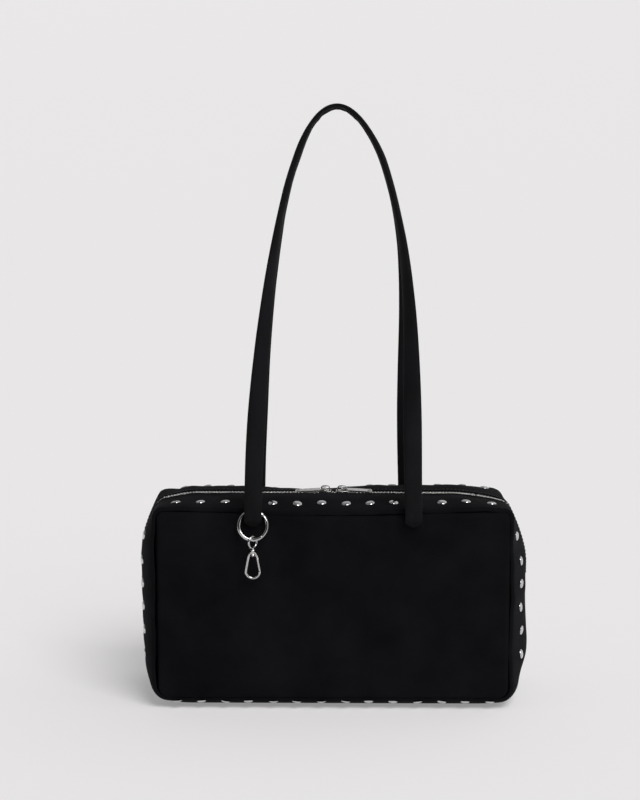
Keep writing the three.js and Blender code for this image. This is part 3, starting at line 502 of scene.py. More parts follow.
def woven(name, plain, threads, dark, light, rough, depth):
    """A woven black cloth: flecked threads, a matt nap between their crowns and a fine ribbed relief."""

    def linked(tree):
        cloth = add_node(tree, "ShaderNodeUVMap", {"uv_map": "cloth"}).outputs["UV"]
        inputs = {"Cloth": cloth, "Threads": threads}
        weave = add_node(tree, "ShaderNodeGroup", {"node_tree": twill}, inputs).outputs
        cloud = cloudy(tree, object_place(tree), scale=28.0, detail=3.0)
        mottle = math_node(tree, "MULTIPLY", weave["Fleck"], cloud)
        return {
            "Base Color": two_tones(tree, mottle, dark, light, low=0.12, high=0.42),
            "Roughness": remap(tree, weave["Height"], (0.0, 1.0), rough),
            "Normal": relief(tree, weave["Height"], Strength=0.55, Distance=depth),
        }

    return finish_material(name, plain, linked)


shell_cloth = woven(
    "shell_twill",
    {
        "Specular IOR Level": 0.035,
        "Sheen Weight": 0.004,
        "Sheen Roughness": 0.4,
        "Sheen Tint": (0.9, 0.93, 1, 1),
    },
    threads=1700.0,
    dark=(0.0028, 0.0025, 0.0035),
    light=(0.0074, 0.0068, 0.0088),
    rough=(0.95, 0.74),
    depth=0.00012,
)
GUSSET_RUN = 2 * (HALF_ROUND - ZIP_END)
GUSSET_STOPS = (-HALF_DEPTH, -HALF_DEPTH + ROLL_WIDE, HALF_DEPTH - ROLL_WIDE, HALF_DEPTH)
GUSSET_CELLS = (8, 50, 8)
gusset_bm = cloth_sheet(
    round(GUSSET_RUN / CLOTH_CELL),
    sum(GUSSET_CELLS),
    lambda u, v: (ZIP_END + u * GUSSET_RUN, graded(v, GUSSET_STOPS, GUSSET_CELLS)),
    skin,
    GUSSET_THICK,
)
gusset = make_piece("side_and_base_band", gusset_bm, shell_cloth, "shell_fabric", "base_gusset")
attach(gusset, "bag_body")

# The front and back panels are the same twill laid over thin foam. The edge turns in to the seam, and the
# top edge sags a little between its corners.
SIDES = (("front", 1), ("back", -1))
PANEL_STAND = 0.0018
PANEL_CROWN = 0.0011
CROWN_REACH = 0.03
PANEL_WALL = 0.0016
RIM_RADIUS = 0.0042
RIM_SINK = 0.0024
PANEL_INSET = 0.0015
PANEL_PUCKER = 0.0004
PANEL_PUCKERS = (75, 75)
PUCKER_REACH = 0.009
PANEL_DENT = 0.0005
PANEL_DENTS = (17, 21)
DENT_FADE = 0.02
EDGE_CROWDING = 0.55
PANEL_CELLS = (150, 84)
PANEL_MIDDLE = (SEAM_TOP + SEAM_LOW - PANEL_INSET) / 2
PANEL_HALF = (SEAM_TOP - SEAM_LOW - PANEL_INSET) / 2
PANEL_WIDE = SEAM_HALF - PANEL_INSET


def panel_cut(u, v):
    """The panel's flat cut: rounded corners, with the grid closer together along the edges."""
    x, z = (
        half * share * (1 + EDGE_CROWDING * (1 - share * share) / 2)
        for share, half in ((2 * u - 1, PANEL_WIDE), (2 * v - 1, PANEL_HALF))
    )
    corner = TOP_CORNER if z > 0 else BASE_CORNER
    a = (abs(x) - PANEL_WIDE + corner) / corner
    b = (abs(z) - PANEL_HALF + corner) / corner
    if a > 0 and b > 0:
        x = math.copysign(PANEL_WIDE - corner + corner * a * math.sqrt(1 - b * b / 2), x)
        z = math.copysign(PANEL_HALF - corner + corner * b * math.sqrt(1 - a * a / 2), z)
    return x, z


def panel_edge(x, z):
    """Distance in from the panel's edge."""
    corner = TOP_CORNER if z > 0 else BASE_CORNER
    a = abs(x) - PANEL_WIDE + corner
    b = abs(z) - PANEL_HALF + corner
    return corner - math.hypot(max(a, 0), max(b, 0)) - min(max(a, b), 0)


def round_fall(edge, radius):
    """How far a round edge has fallen, from 0 at its radius in from the edge to 1 at the edge."""
    share = max(0, 1 - edge / radius)
    return 1 - math.sqrt(max(0, 1 - share * share))


def panel_shape(facing):
    """The front panel's face, or with facing -1 the back one's, turned round."""

    def shape(x, z):
        edge = max(panel_edge(x, z), 0)
        out = PANEL_STAND + PANEL_CROWN * (1 - math.exp(-edge / CROWN_REACH))
        dent = ripple((x, z), PANEL_DENTS, seed=3.7 * facing)
        out += PANEL_DENT * dent * smoothstep(edge, 0, DENT_FADE)
        crease = ripple((x, z), PANEL_PUCKERS, seed=9.1 * facing)
        out += PANEL_PUCKER * crease * math.exp(-edge / PUCKER_REACH) * smoothstep(edge, 0, RIM_RADIUS)
        out -= (out + RIM_SINK) * round_fall(edge, RIM_RADIUS)
        sag = SEAM_SAG * max(0, 1 - (x / TOP_RUN) ** 2) * smoothstep(z, 0, PANEL_HALF)
        return settle(Vector((facing * x, -facing * (HALF_DEPTH + out), PANEL_MIDDLE + z - sag)))

    return shape


for side, facing in SIDES:
    panel_bm = cloth_sheet(*PANEL_CELLS, panel_cut, panel_shape(facing), PANEL_WALL)
    panel = make_piece(
        f"padded_{side}", panel_bm, shell_cloth, "shell_fabric", f"{side}_panel", f"{side}_foam"
    )
    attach(panel, "bag_body")

# The zip bands are the gusset's top: from each seam to the zip, over the corners and part of the way down
# the sides. Along the mouth these pieces are only the margins; the flaps inside them are separate pieces.
joints = {joint["name"]: joint for joint in frame["joints"]}
HINGE_Y = joints["mouth_open"]["pos_m"][1]
ZIP_SLOT = 0.0049
TURNED_EDGE = 0.0009
TURNED_REACH = 0.0013
BAND_STOPS = (-ZIP_END, -FLAP_HALF, 0, FLAP_HALF, ZIP_END)
BAND_CELLS = (36, 62, 62, 36)
BAND_ACROSS = (-HALF_DEPTH, -HALF_DEPTH + ROLL_WIDE, HINGE_Y, -ZIP_SLOT)
BAND_ACROSS_CELLS = (8, 4, 24)


def band_cut(u, v):
    """The band's flat cut, with its cells ending where the flap starts."""
    return graded(u, BAND_STOPS, BAND_CELLS), graded(v, BAND_ACROSS, BAND_ACROSS_CELLS)


def band_sheet(facing, keep):
    """These cells of the front band, or with facing -1 of the back one, turned round."""

    def shape(run, y):
        fold = TURNED_EDGE * hump(abs(y), ZIP_SLOT, TURNED_REACH)
        return skin(facing * run, facing * y) - fold * seam_line(facing * run)[1]

    return cloth_sheet(sum(BAND_CELLS), sum(BAND_ACROSS_CELLS), band_cut, shape, GUSSET_THICK, keep)


def in_flap(run, y):
    """Whether a place on the band is in the part that folds out."""
    return abs(run) < FLAP_HALF and y > HINGE_Y


for side, facing in SIDES:
    band_bm = band_sheet(facing, lambda run, y: not in_flap(run, y))
    band = make_piece(f"{side}_band_margin", band_bm, shell_cloth, "shell_fabric", f"{side}_zip_band")
    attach(band, "bag_body")

# The mouth flaps are the stretch of the bands along the zip, built closed and not bent. On the real bag each
# bends between its stiff end at the corner and its free middle, so the open mouth gapes like a lens.
ENDS = (("left", -1), ("right", 1))
QUARTERS = [(*side, *end) for side in SIDES for end in ENDS]


def bend_open(obj, side, half):
    """Bakes a piece of the mouth's placement into its mesh; the piece is neither bent nor opened."""
    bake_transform(obj)


def mouth_half(facing, half):
    """Which cells of a turned band lie on this half of the mouth."""
    return lambda run, y: in_flap(run, y) and facing * half * run > 0


for side, facing, end, half in QUARTERS:
    flap_bm = band_sheet(facing, mouth_half(facing, half))
    flap = make_piece(f"{side}_flap_{end}", flap_bm, shell_cloth, "shell_fabric", f"{side}_mouth_flap")
    bend_open(flap, side, half)

# The base board stiffens the bottom between the gusset and the lining. It is pressed fibre, and its solid
# has the right shape.
def pressed_fibre(tree):
    """Brown fibres pressed flat, with a slight tooth."""
    fibre = cloudy(tree, object_place(tree), scale=700.0, detail=4.0)
    return {
        "Base Color": two_tones(tree, fibre, (0.06, 0.045, 0.03), (0.17, 0.13, 0.09)),
        "Normal": relief(tree, fibre, Distance=0.0002),
    }


fibre_board = finish_material("fibre_board", {"Roughness": 0.85}, pressed_fibre)
for material_slot in bpy.data.objects["base_board"].material_slots:
    material_slot.material = fibre_board

# The lining is an open tub of thin black sateen that hangs inside the shell, a little slack between its
# seams, with its top edge sewn in under the zip bands.
LINING_THICK = 0.0006
LINING_CORNER = 0.013
LINING_SLACK = 0.0012
LINING_WAVES = 24
LINING_CUTS = 24
LINING_FREE = 0.02
LONG_EDGE = 0.05
lining_low, lining_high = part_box("lining")


def diagonal_ribs(tree, scale):
    """Fine slanting ribs."""
    inputs = {"Vector": object_place(tree), "Scale": scale}
    return add_node(tree, "ShaderNodeTexWave", {"bands_direction": "DIAGONAL"}, inputs).outputs["Fac"]


def sateen(tree):
    """A smooth black lining, a little cloudy, with fine ribs."""
    cloud = cloudy(tree, object_place(tree), scale=40.0, detail=3.0)
    return {
        "Base Color": two_tones(tree, cloud, (0.010, 0.010, 0.012), (0.022, 0.022, 0.025)),
        "Normal": relief(tree, diagonal_ribs(tree, scale=620.0), Strength=0.3, Distance=0.0001),
    }


def round_edges(bm, edges, radius, segments, clamp_overlap=False):
    """Rounds these edges off."""
    bmesh.ops.bevel(
        bm,
        geom=edges,
        offset=radius,
        affect="EDGES",
        segments=segments,
        profile=0.5,
        material=-1,
        clamp_overlap=clamp_overlap,
    )


lining_cloth = finish_material("lining_sateen", {"Roughness": 0.5, "Sheen Weight": 0.05}, sateen)
lining_bm = bmesh.new()
bmesh.ops.create_cube(lining_bm, size=1)
bmesh.ops.scale(lining_bm, vec=lining_high - lining_low, verts=lining_bm.verts[:])
bmesh.ops.translate(lining_bm, vec=(lining_high + lining_low) / 2, verts=lining_bm.verts[:])
lid = [face for face in lining_bm.faces if face.normal.z > 0.5]
bmesh.ops.delete(lining_bm, geom=lid, context="FACES_ONLY")
front_to_back = [
    edge
    for edge in lining_bm.edges
    if len(edge.link_faces) == 2 and abs(edge.verts[0].co.y - edge.verts[1].co.y) > LINING_CORNER
]
round_edges(lining_bm, front_to_back, LINING_CORNER, segments=5)
long_edges = [edge for edge in lining_bm.edges if edge.calc_length() > LONG_EDGE]
bmesh.ops.subdivide_edges(lining_bm, edges=long_edges, cuts=LINING_CUTS, use_grid_fill=True)
for vert in lining_bm.verts:
    free_x = min(vert.co.x - lining_low.x, lining_high.x - vert.co.x, LINING_FREE) / LINING_FREE
    free_y = min(vert.co.y - lining_low.y, lining_high.y - vert.co.y, LINING_FREE) / LINING_FREE
    inward = Vector((-math.copysign(1 - free_x, vert.co.x), -math.copysign(1 - free_y, vert.co.y), 0))
    vert.co += inward * LINING_SLACK * (0.5 + 0.5 * noise.noise(vert.co * LINING_WAVES))
bmesh.ops.recalc_face_normals(lining_bm, faces=lining_bm.faces[:])
bmesh.ops.solidify(lining_bm, geom=lining_bm.faces[:], thickness=LINING_THICK)
lining = make_piece("lining_tub", lining_bm, lining_cloth, "lining_fabric", "lining")
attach(lining, "bag_body")

# The zip tape is a narrow ribbed ribbon on each side of the teeth, sewn under the bands. Along the mouth it
# is cut in pieces like the flaps, and over the corners it goes with the bag body.
chain_low, chain_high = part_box("front_zip_teeth")
tape_low, tape_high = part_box("front_zip_tape")
CHAIN_Z = (chain_low.z + chain_high.z) / 2
CHAIN_DEPTH = SEAM_TOP + TOP_RISE - CHAIN_Z
TAPE_THICK = tape_high.z - tape_low.z
TAPE_WIDE = -tape_low.y
TAPE_NEAR = 0.0012
TAPE_BEAD = 0.0003
BEAD_REACH = 0.0009
TAPE_END = ZIP_END - 0.0003
MOUTH_TAPE_CELLS = (70, 10)
END_TAPE_CELLS = (36, 10)
SLIDER_START = 0.002
SPREAD_END = 0.006
CLOSED_FROM = 0.0105
TOOTH_SPREAD = 0.0014


def spread(x):
    """How far each row of teeth stands off between the two sliders."""
    return TOOTH_SPREAD * (1 - smoothstep(abs(x), SPREAD_END, CLOSED_FROM))


def chain_place(run, y, up):
    """A point of the zip, up metres above the middle of its tape."""
    place, out = seam_line(run)
    return place + out * (swell(run, y) - CHAIN_DEPTH + up) + Vector((0, y, 0))


tape_cloth = woven(
    "zip_ribbon",
    {"Specular IOR Level": 0.3, "Sheen Weight": 0.05},
    threads=2300.0,
    dark=(0.004, 0.004, 0.0045),
    light=(0.011, 0.011, 0.012),
    rough=(0.85, 0.6),
    depth=0.0001,
)


def tape_sheet(cells, facing, *runs):
    """A stretch of the front tape, or with facing -1 of the back one, with a bead along the teeth."""
    low, high = sorted(facing * run for run in runs)

    def shape(run, y):
        up = TAPE_THICK / 2 + TAPE_BEAD * hump(y, TAPE_NEAR, BEAD_REACH)
        return chain_place(facing * run, -facing * (y + spread(run)), up)

    def cut(u, v):
        return lerp(low, high, u), lerp(TAPE_WIDE, TAPE_NEAR, v)

    return cloth_sheet(*cells, cut, shape, TAPE_THICK)


for side, facing, end, half in QUARTERS:
    tape_bm = tape_sheet(MOUTH_TAPE_CELLS, facing, 0, half * FLAP_HALF)
    tape = make_piece(f"{side}_tape_{end}", tape_bm, tape_cloth, "zip_tape", f"{side}_zip_tape")
    bend_open(tape, side, half)
    end_tape_bm = tape_sheet(END_TAPE_CELLS, facing, half * FLAP_HALF, half * TAPE_END)
    end_tape = make_piece(f"{side}_tape_{end}_end", end_tape_bm, tape_cloth, "zip_tape", f"{end}_zip_end")
    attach(end_tape, "bag_body")

# The zip teeth are small nickel castings clamped on the tape's edge. Their noses mesh in turn with the
# other row's, except between the two sliders.
TOOTH_PITCH = 0.0026
TOOTH_WIDE = 0.00105
TOOTH_THICK = chain_high.z - chain_low.z
TOOTH_BACK = 0.0022
TOOTH_NOSE = 0.0005
TOOTH_ROUND = 0.00032
MOUTH_TEETH_END = FLAP_HALF - 0.0006
TEETH_END = ZIP_END - 0.0015
RUN_STEP = 0.0001
FRAME_STEP = 0.0004


def make_polish():
    """Polished metal: fine rubbed haze and faint scratches."""
    group = new_group(
        "polish",
        {
            "Place": ("NodeSocketVector", None),
            "Smooth": ("NodeSocketFloat", 0.1),
            "Hazy": ("NodeSocketFloat", 0.3),
        },
        ("Roughness", "Tarnish", "Scratch"),
    )
    start = add_node(group, "NodeGroupInput").outputs
    haze = cloudy(group, start["Place"], scale=420.0, detail=4.0)
    rubbed = {"Vector": start["Place"], "Scale": (1.0, 7.0, 5.0)}
    drawn = add_node(group, "ShaderNodeMapping", {}, rubbed).outputs["Vector"]
    finish = {
        "Roughness": remap(group, haze, (0.3, 0.75), (start["Smooth"], start["Hazy"])),
        "Tarnish": haze,
        "Scratch": cloudy(group, drawn, scale=900.0, detail=2.0),
    }
    add_node(group, "NodeGroupOutput", {}, finish)
    return group


polish = make_polish()


def plated(name, bright, dull, smooth, hazy):
    """A polished metal that is duller and rougher where it is rubbed."""

    def linked(tree):
        inputs = {"Place": object_place(tree), "Smooth": smooth, "Hazy": hazy}
        rubbed = add_node(tree, "ShaderNodeGroup", {"node_tree": polish}, inputs).outputs
        return {
            "Base Color": two_tones(tree, rubbed["Tarnish"], bright, dull, low=0.35, high=0.8),
            "Roughness": rubbed["Roughness"],
            "Normal": relief(tree, rubbed["Scratch"], Strength=0.08, Distance=0.00003),
        }

    return finish_material(name, {"Metallic": 1.0}, linked)


teeth_metal = plated("teeth_nickel", (0.93, 0.92, 0.90), (0.74, 0.73, 0.71), smooth=0.2, hazy=0.42)


def small_shape(name, bm):
    """A small mesh to set down many times."""
    mesh = bpy.data.meshes.new(name)
    bm.to_mesh(mesh)
    bm.free()
    return mesh


def set_down(shape, places):
    """One mesh with a copy of a small shape at each place."""
    bm = bmesh.new()
    for place in places:
        copy = shape.copy()
        copy.transform(place)
        bm.from_mesh(copy)
        bpy.data.meshes.remove(copy)
    return bm


tooth_bm = bmesh.new()
bmesh.ops.create_cube(tooth_bm, size=1)
bmesh.ops.scale(tooth_bm, vec=(TOOTH_WIDE, TOOTH_BACK + TOOTH_NOSE, TOOTH_THICK), verts=tooth_bm.verts[:])
bmesh.ops.translate(tooth_bm, vec=(0, (TOOTH_NOSE - TOOTH_BACK) / 2, 0), verts=tooth_bm.verts[:])
round_edges(tooth_bm, tooth_bm.edges[:], TOOTH_ROUND, segments=1)
tooth = small_shape("tooth", tooth_bm)


def chain_frame(run, y, up):
    """A place on the zip with its own axes: along it, across it and out of the bag."""
    along = (chain_place(run + FRAME_STEP, y, up) - chain_place(run - FRAME_STEP, y, up)).normalized()
    across = Vector((0, 1, 0))
    turn = Matrix((along, across, along.cross(across))).transposed().to_4x4()
    return Matrix.Translation(chain_place(run, y, up)) @ turn


def even_runs(path, low, high, step):
    """Distances along the seam at which a line on the bag takes even steps."""
    runs = [low]
    before = path(low)
    covered = 0
    for tick in range(1, round((high - low) / RUN_STEP)):
        run = low + tick * RUN_STEP
        after = path(run)
        covered += (after - before).length
        before = after
        if covered >= step:
            covered -= step
            runs.append(run)
    return runs


def tooth_places(low, high, half, facing):
    """A tooth at every step of one row; the back row stands half a step on."""
    first = low + TOOTH_PITCH * (0.5 - facing * half * 0.25)
    for run in even_runs(lambda run: chain_place(run, 0, 0), first, high, TOOTH_PITCH):
        place = chain_frame(half * run, -facing * spread(run), 0)
        yield place @ Matrix.Rotation((facing - 1) * math.pi / 2, 4, "Z")


for side, facing, end, half in QUARTERS:
    row_bm = set_down(tooth, tooth_places(0, MOUTH_TEETH_END, half, facing))
    row = make_piece(f"{side}_teeth_{end}", row_bm, teeth_metal, "zip_metal", f"{side}_zip_teeth")
    bend_open(row, side, half)
    end_bm = set_down(tooth, tooth_places(FLAP_HALF, TEETH_END, half, facing))
    end_row = make_piece(f"{side}_teeth_{end}_end", end_bm, teeth_metal, "zip_metal", f"{end}_zip_end")
    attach(end_row, "bag_body")

# A row of topstitching in black twisted thread holds each band to the tape, a little way in from the zip. It
# is cut in pieces like the flaps along the mouth, and stops short of the tabs at the ends.
STITCH_LONG = 0.0024
STITCH_WIDE = 0.0006
STITCH_THICK = 0.00052
STITCH_STEP = 0.0031
STITCH_ROW = ZIP_SLOT + 0.0026
STITCH_END = ZIP_END - 0.008
STITCH_LIFT = 0.0001
SKIN_STEP = 0.0012


def twisted_thread(tree):
    """Black thread, with a painted highlight along the crowns of its plies, which also give its relief."""
    ply_and_highlight = diagonal_ribs(tree, scale=900.0)
    return {
        # The lighter of the two tones is a painted highlight on the crowns of the plies.
        "Base Color": two_tones(tree, ply_and_highlight, (0.006, 0.006, 0.007), (0.026, 0.026, 0.029)),
        "Normal": relief(tree, ply_and_highlight, Distance=0.0001),
    }


black_thread = finish_material("black_thread", {"Roughness": 0.55, "Sheen Weight": 0.1}, twisted_thread)
stitch_bm = bmesh.new()
bmesh.ops.create_uvsphere(stitch_bm, u_segments=6, v_segments=4, radius=1)
lying = Matrix.Rotation(math.pi / 2, 3, "Y")
bmesh.ops.rotate(stitch_bm, cent=(0, 0, 0), matrix=lying, verts=stitch_bm.verts[:])
half_sizes = (STITCH_LONG / 2, STITCH_WIDE / 2, STITCH_THICK / 2)
bmesh.ops.scale(stitch_bm, vec=half_sizes, verts=stitch_bm.verts[:])
stitch = small_shape("stitch", stitch_bm)


def skin_frame(run, y, up):
    """A place on the gusset's face with its own axes: along it, across it and out of it."""
    along = (skin(run + SKIN_STEP, y) - skin(run - SKIN_STEP, y)).normalized()
    across = (skin(run, y + SKIN_STEP) - skin(run, y - SKIN_STEP)).normalized()
    out = along.cross(across).normalized()
    turn = Matrix((along, out.cross(along), out)).transposed().to_4x4()
    return Matrix.Translation(skin(run, y) + up * out) @ turn


def stitch_row(low, high, half, y):
    """A mesh of even stitches along one half of the bag."""
    runs = even_runs(lambda run: skin(half * run, y), low + STITCH_STEP / 2, high, STITCH_STEP)
    return set_down(stitch, [skin_frame(half * run, y, STITCH_LIFT) for run in runs])


for side, facing, end, half in QUARTERS:
    seam_bm = stitch_row(0, FLAP_HALF, half, -facing * STITCH_ROW)
    seam = make_piece(f"{side}_stitches_{end}", seam_bm, black_thread, "shell_fabric")
    bend_open(seam, side, half)
    end_bm = stitch_row(FLAP_HALF, STITCH_END, half, -facing * STITCH_ROW)
    end_seam = make_piece(f"{side}_stitches_{end}_end", end_bm, black_thread, "shell_fabric")
    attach(end_seam, "bag_body")

# A folded tab of twill is sewn over each end of the zip, low on the sides of the bag. Its edges are turned
# under, and a row of stitches runs along each of its sides.
TAB_LONG = 0.014
TAB_WIDE = 0.018
TAB_THICK = 0.001
TAB_CELLS = (24, 30)
TAB_STAND = 0.0003
TAB_ROUND = 0.0012
TAB_TURN = 0.0011
TAB_CROWN = 0.00035
TAB_STITCHES = 5
TAB_STITCH_STEP = 0.0026
TAB_SEAM = 0.0075
TAB_SEAM_UP = CHAIN_DEPTH + TAB_STAND + STITCH_LIFT


def tab_cut(u, v):
    """The tab's flat cut."""
    return (u - 0.5) * TAB_LONG, (v - 0.5) * TAB_WIDE


def tab_shape(half):
    """The tab's face on one side of the bag, a little crowned and with turned edges."""

    def shape(run, y):
        edge = min(TAB_LONG / 2 - abs(run), TAB_WIDE / 2 - abs(y))
        lift = TAB_STAND - TAB_TURN * round_fall(edge, TAB_ROUND)
        crown = TAB_CROWN * edge / (TAB_LONG / 2)
        return chain_place(half * (ZIP_END + run), half * y, CHAIN_DEPTH + lift + crown)

    return shape


for end, half in ENDS:
    tab_bm = cloth_sheet(*TAB_CELLS, tab_cut, tab_shape(half), TAB_THICK)
    tab = make_piece(f"{end}_end_tab", tab_bm, shell_cloth, "shell_fabric", f"{end}_zip_tab")
    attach(tab, "bag_body")
    places = []
    for row in (-TAB_SEAM, TAB_SEAM):
        for step in range(TAB_STITCHES):
            along = (step - TAB_STITCHES // 2) * TAB_STITCH_STEP
            places.append(chain_frame(half * (ZIP_END + along), row, TAB_SEAM_UP))
    tab_seam = make_piece(f"{end}_tab_stitches", set_down(stitch, places), black_thread, "shell_fabric")
    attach(tab_seam, "bag_body")

# The studs are domed chrome caps on a small shank, pressed through the cloth in a row near each seam.
# They sit at slightly different tilts, as the cloth lets them.
STUD_RADIUS = 0.0038
STUD_HEIGHT = 0.0013
STUD_PROFILE = (
    (0, 1),
    (0.36, 0.97),
    (0.62, 0.86),
    (0.8, 0.66),
    (0.91, 0.42),
    (0.98, 0.18),
    (1, 0.02),
    (0.93, -0.12),
)
STUD_STEPS = 20
STUD_STAND = 0.0002
STUD_TILT = math.radians(8)
BASE_STUD_DIP = math.radians(15)
STUD_STRAY = 0.0005
SAME_PLACE = 1e-6


def spin_shape(bm, profile, axis, steps):
    """Spins a line of points once round an axis through the origin."""
    verts = [bm.verts.new(point) for point in profile]
    spokes = [bm.edges.new(pair) for pair in zip(verts, verts[1:])]
    bmesh.ops.spin(
        bm,
        geom=verts + spokes,
        cent=(0, 0, 0),
        axis=axis,
        angle=2 * math.pi,
        steps=steps,
        use_merge=True,
    )
    bmesh.ops.remove_doubles(bm, verts=bm.verts[:], dist=SAME_PLACE)


def close_ends(bm):
    """Fills the open ends of a shape."""
    bmesh.ops.holes_fill(bm, edges=[edge for edge in bm.edges if edge.is_boundary])


stud_metal = plated("stud_chrome", (0.64, 0.64, 0.65), (0.44, 0.44, 0.45), smooth=0.06, hazy=0.18)
stud_bm = bmesh.new()
dome = [(STUD_RADIUS * across, 0, STUD_HEIGHT * up) for across, up in STUD_PROFILE]
spin_shape(stud_bm, dome, (0, 0, 1), STUD_STEPS)
close_ends(stud_bm)
bmesh.ops.recalc_face_normals(stud_bm, faces=stud_bm.faces[:])
stud = small_shape("stud", stud_bm)
tilts = random.Random(4)


def stud_row(name, spots, node):
    """The studs at these spots of the gusset, each with its own small tilt and stray."""
    places = []
    for run, row in spots:
        dip = math.copysign(BASE_STUD_DIP, row) if abs(run) > SIDE_END else 0
        lean = Matrix.Rotation(dip + tilts.uniform(-STUD_TILT, STUD_TILT), 4, "X")
        roll = Matrix.Rotation(tilts.uniform(-STUD_TILT, STUD_TILT), 4, "Y")
        aside = tilts.uniform(-STUD_STRAY, STUD_STRAY)
        across = tilts.uniform(-STUD_STRAY, STUD_STRAY)
        places.append(skin_frame(run + aside, row + across, STUD_STAND) @ lean @ roll)
    return make_piece(name, set_down(stud, places), stud_metal, "stud_metal", node)


for side, facing in SIDES:
    spots = [(run, row) for run, row in stud_spots if facing * row < 0]
    for end, half in ENDS:
        near = [spot for spot in spots if half * spot[0] > 0]
        mouth_spots = [spot for spot in near if abs(spot[0]) < FLAP_HALF]
        mouth_studs = stud_row(f"{side}_studs_{end}", mouth_spots, f"{side}_flap_studs")
        bend_open(mouth_studs, side, half)
        corner_spots = [spot for spot in near if FLAP_HALF < abs(spot[0]) < SIDE_END]
        corner_studs = stud_row(f"{side}_studs_{end}_corner", corner_spots, f"{side}_{end}_corner_studs")
        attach(corner_studs, "bag_body")
    base_spots = [spot for spot in spots if abs(spot[0]) > SIDE_END]
    base_studs = stud_row(f"{side}_studs_base", base_spots, f"{side}_base_studs")
    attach(base_studs, "bag_body")

# The two zip sliders are nickel castings: two plates round the chain, rolled edges, a post between them at
# the nose, and an arched bridge on top that holds the pull.
SLIDER_END = 0.012
SLIDER_WALL = 0.0007
SLIDER_FIT = 0.0003
SLIDER_LIP = 0.00065
LIP_LAP = 0.0004
CHANNEL_HALF = TOOTH_THICK / 2 + SLIDER_FIT
PLATE_TOP = CHANNEL_HALF + 0.001
PLATE_ROUND = 0.00035
LIP_ROUND = 0.00015
NOSE = SLIDER_START + SLIDER_FIT
NOSE_LONG = 0.0032
NOSE_HALF = 0.0006
NOSE_LAP = 0.0002
NOSE_ROUND = 0.0001
BRIDGE_START = 0.0026
BRIDGE_LONG = 0.0080
BRIDGE_HALF = 0.0011
BRIDGE_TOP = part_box("right_slider")[1].z - CHAIN_Z + 0.0008
BRIDGE_BAR = 0.00105
BRIDGE_SINK = 0.0005
BRIDGE_BEND = 0.55
BRIDGE_STEPS = 24
BRIDGE_LEAN = 0.001
TURNS = (("right", 0), ("left", math.pi))

slider_metal = plated("slider_nickel", (0.36, 0.355, 0.35), (0.22, 0.215, 0.21), smooth=0.08, hazy=0.22)


def thicken(bm, faces, height):
    """Draws flat faces up to a height above them, and gives the verts of the new top."""
    raised = bmesh.ops.extrude_face_region(bm, geom=faces, use_keep_orig=True)["geom"]
    top = [item for item in raised if isinstance(item, bmesh.types.BMVert)]
    bmesh.ops.translate(bm, vec=(0, 0, height), verts=top)
    return top


def plate(bm, outline, low, high, radius):
    """A plate of this outline between two heights, with its edges rounded off."""
    face = bm.faces.new([bm.verts.new((x, y, low)) for x, y in outline])
    verts = set(thicken(bm, [face], high - low)) | set(face.verts)
    edges = [edge for edge in bm.edges if edge.verts[0] in verts]
    bmesh.ops.recalc_face_normals(bm, faces=[face for face in bm.faces if face.verts[0] in verts])
    round_edges(bm, edges, radius, segments=3, clamp_overlap=True)


def rod(bm, stations, sides, closed=False):
    """A rod through rings, each a place and its two half-widths as vectors across the rod."""
    loops = []
    for middle, broad, narrow in stations:
        turn = Matrix((broad, narrow, broad.cross(narrow).normalized())).transposed().to_4x4()
        ring = bmesh.ops.create_circle(bm, segments=sides, radius=1, matrix=Matrix.Translation(middle) @ turn)
        loops.append(list(dict.fromkeys(edge for vert in ring["verts"] for edge in vert.link_edges)))
    for loop, following in zip(loops, loops[1:]):
        bmesh.ops.bridge_loops(bm, edges=loop + following)
    if closed:
        bmesh.ops.bridge_loops(bm, edges=loops[-1] + loops[0])
    else:
        bmesh.ops.holes_fill(bm, edges=loops[0])
        bmesh.ops.holes_fill(bm, edges=loops[-1])
    bmesh.ops.recalc_face_normals(bm, faces=bm.faces[:])


def slider_side(wall):
    """One side of the slider's channel from its nose to its tail, with a wall outside it."""
    wide = TOOTH_BACK + TOOTH_SPREAD + SLIDER_FIT + wall
    slim = TOOTH_BACK + SLIDER_FIT + wall
    return [(SLIDER_START, wide), (SPREAD_END, wide), (CLOSED_FROM, slim), (SLIDER_END, slim)]


def bridge_arch():
    """Stations along the squared arch of the bridge, from its foot at the nose to the other one."""
    middle = BRIDGE_START + BRIDGE_LONG / 2
    reach = (BRIDGE_LONG - BRIDGE_BAR) / 2
    rise = BRIDGE_TOP - BRIDGE_BAR / 2 - PLATE_TOP
    for step in range(BRIDGE_STEPS + 1):
        turn = math.pi * step / BRIDGE_STEPS
        aside = math.copysign(abs(math.cos(turn)) ** BRIDGE_BEND, math.cos(turn)) * reach
        up = (rise + BRIDGE_SINK) * math.sin(turn) ** BRIDGE_BEND
        out = Vector((-math.cos(turn), 0, math.sin(turn) + BRIDGE_LEAN)).normalized()
        place = Vector((middle - aside, 0, PLATE_TOP - BRIDGE_SINK + up))
        yield place, out * BRIDGE_BAR / 2, Vector((0, BRIDGE_HALF, 0))


def make_slider():
    """The right slider on its own axis, with its nose towards the middle of the zip."""
    bm = bmesh.new()
    outer = slider_side(SLIDER_WALL)
    inner = slider_side(0)
    whole = [(x, -y) for x, y in outer] + outer[::-1]
    for side in (1, -1):
        low, high = sorted((side * CHANNEL_HALF, side * PLATE_TOP))
        plate(bm, whole, low, high, PLATE_ROUND)
        low, high = sorted((side * SLIDER_LIP, side * (CHANNEL_HALF + LIP_LAP)))
        for across in (1, -1):
            lip = [(x, across * y) for x, y in outer + inner[::-1]]
            plate(bm, lip, low, high, LIP_ROUND)
    waist = NOSE + NOSE_LONG / 2
    post = [(NOSE, 0), (waist, -NOSE_HALF), (NOSE + NOSE_LONG, 0), (waist, NOSE_HALF)]
    plate(bm, post, -CHANNEL_HALF - NOSE_LAP, CHANNEL_HALF + NOSE_LAP, NOSE_ROUND)
    rod(bm, bridge_arch(), sides=12)
    return bm


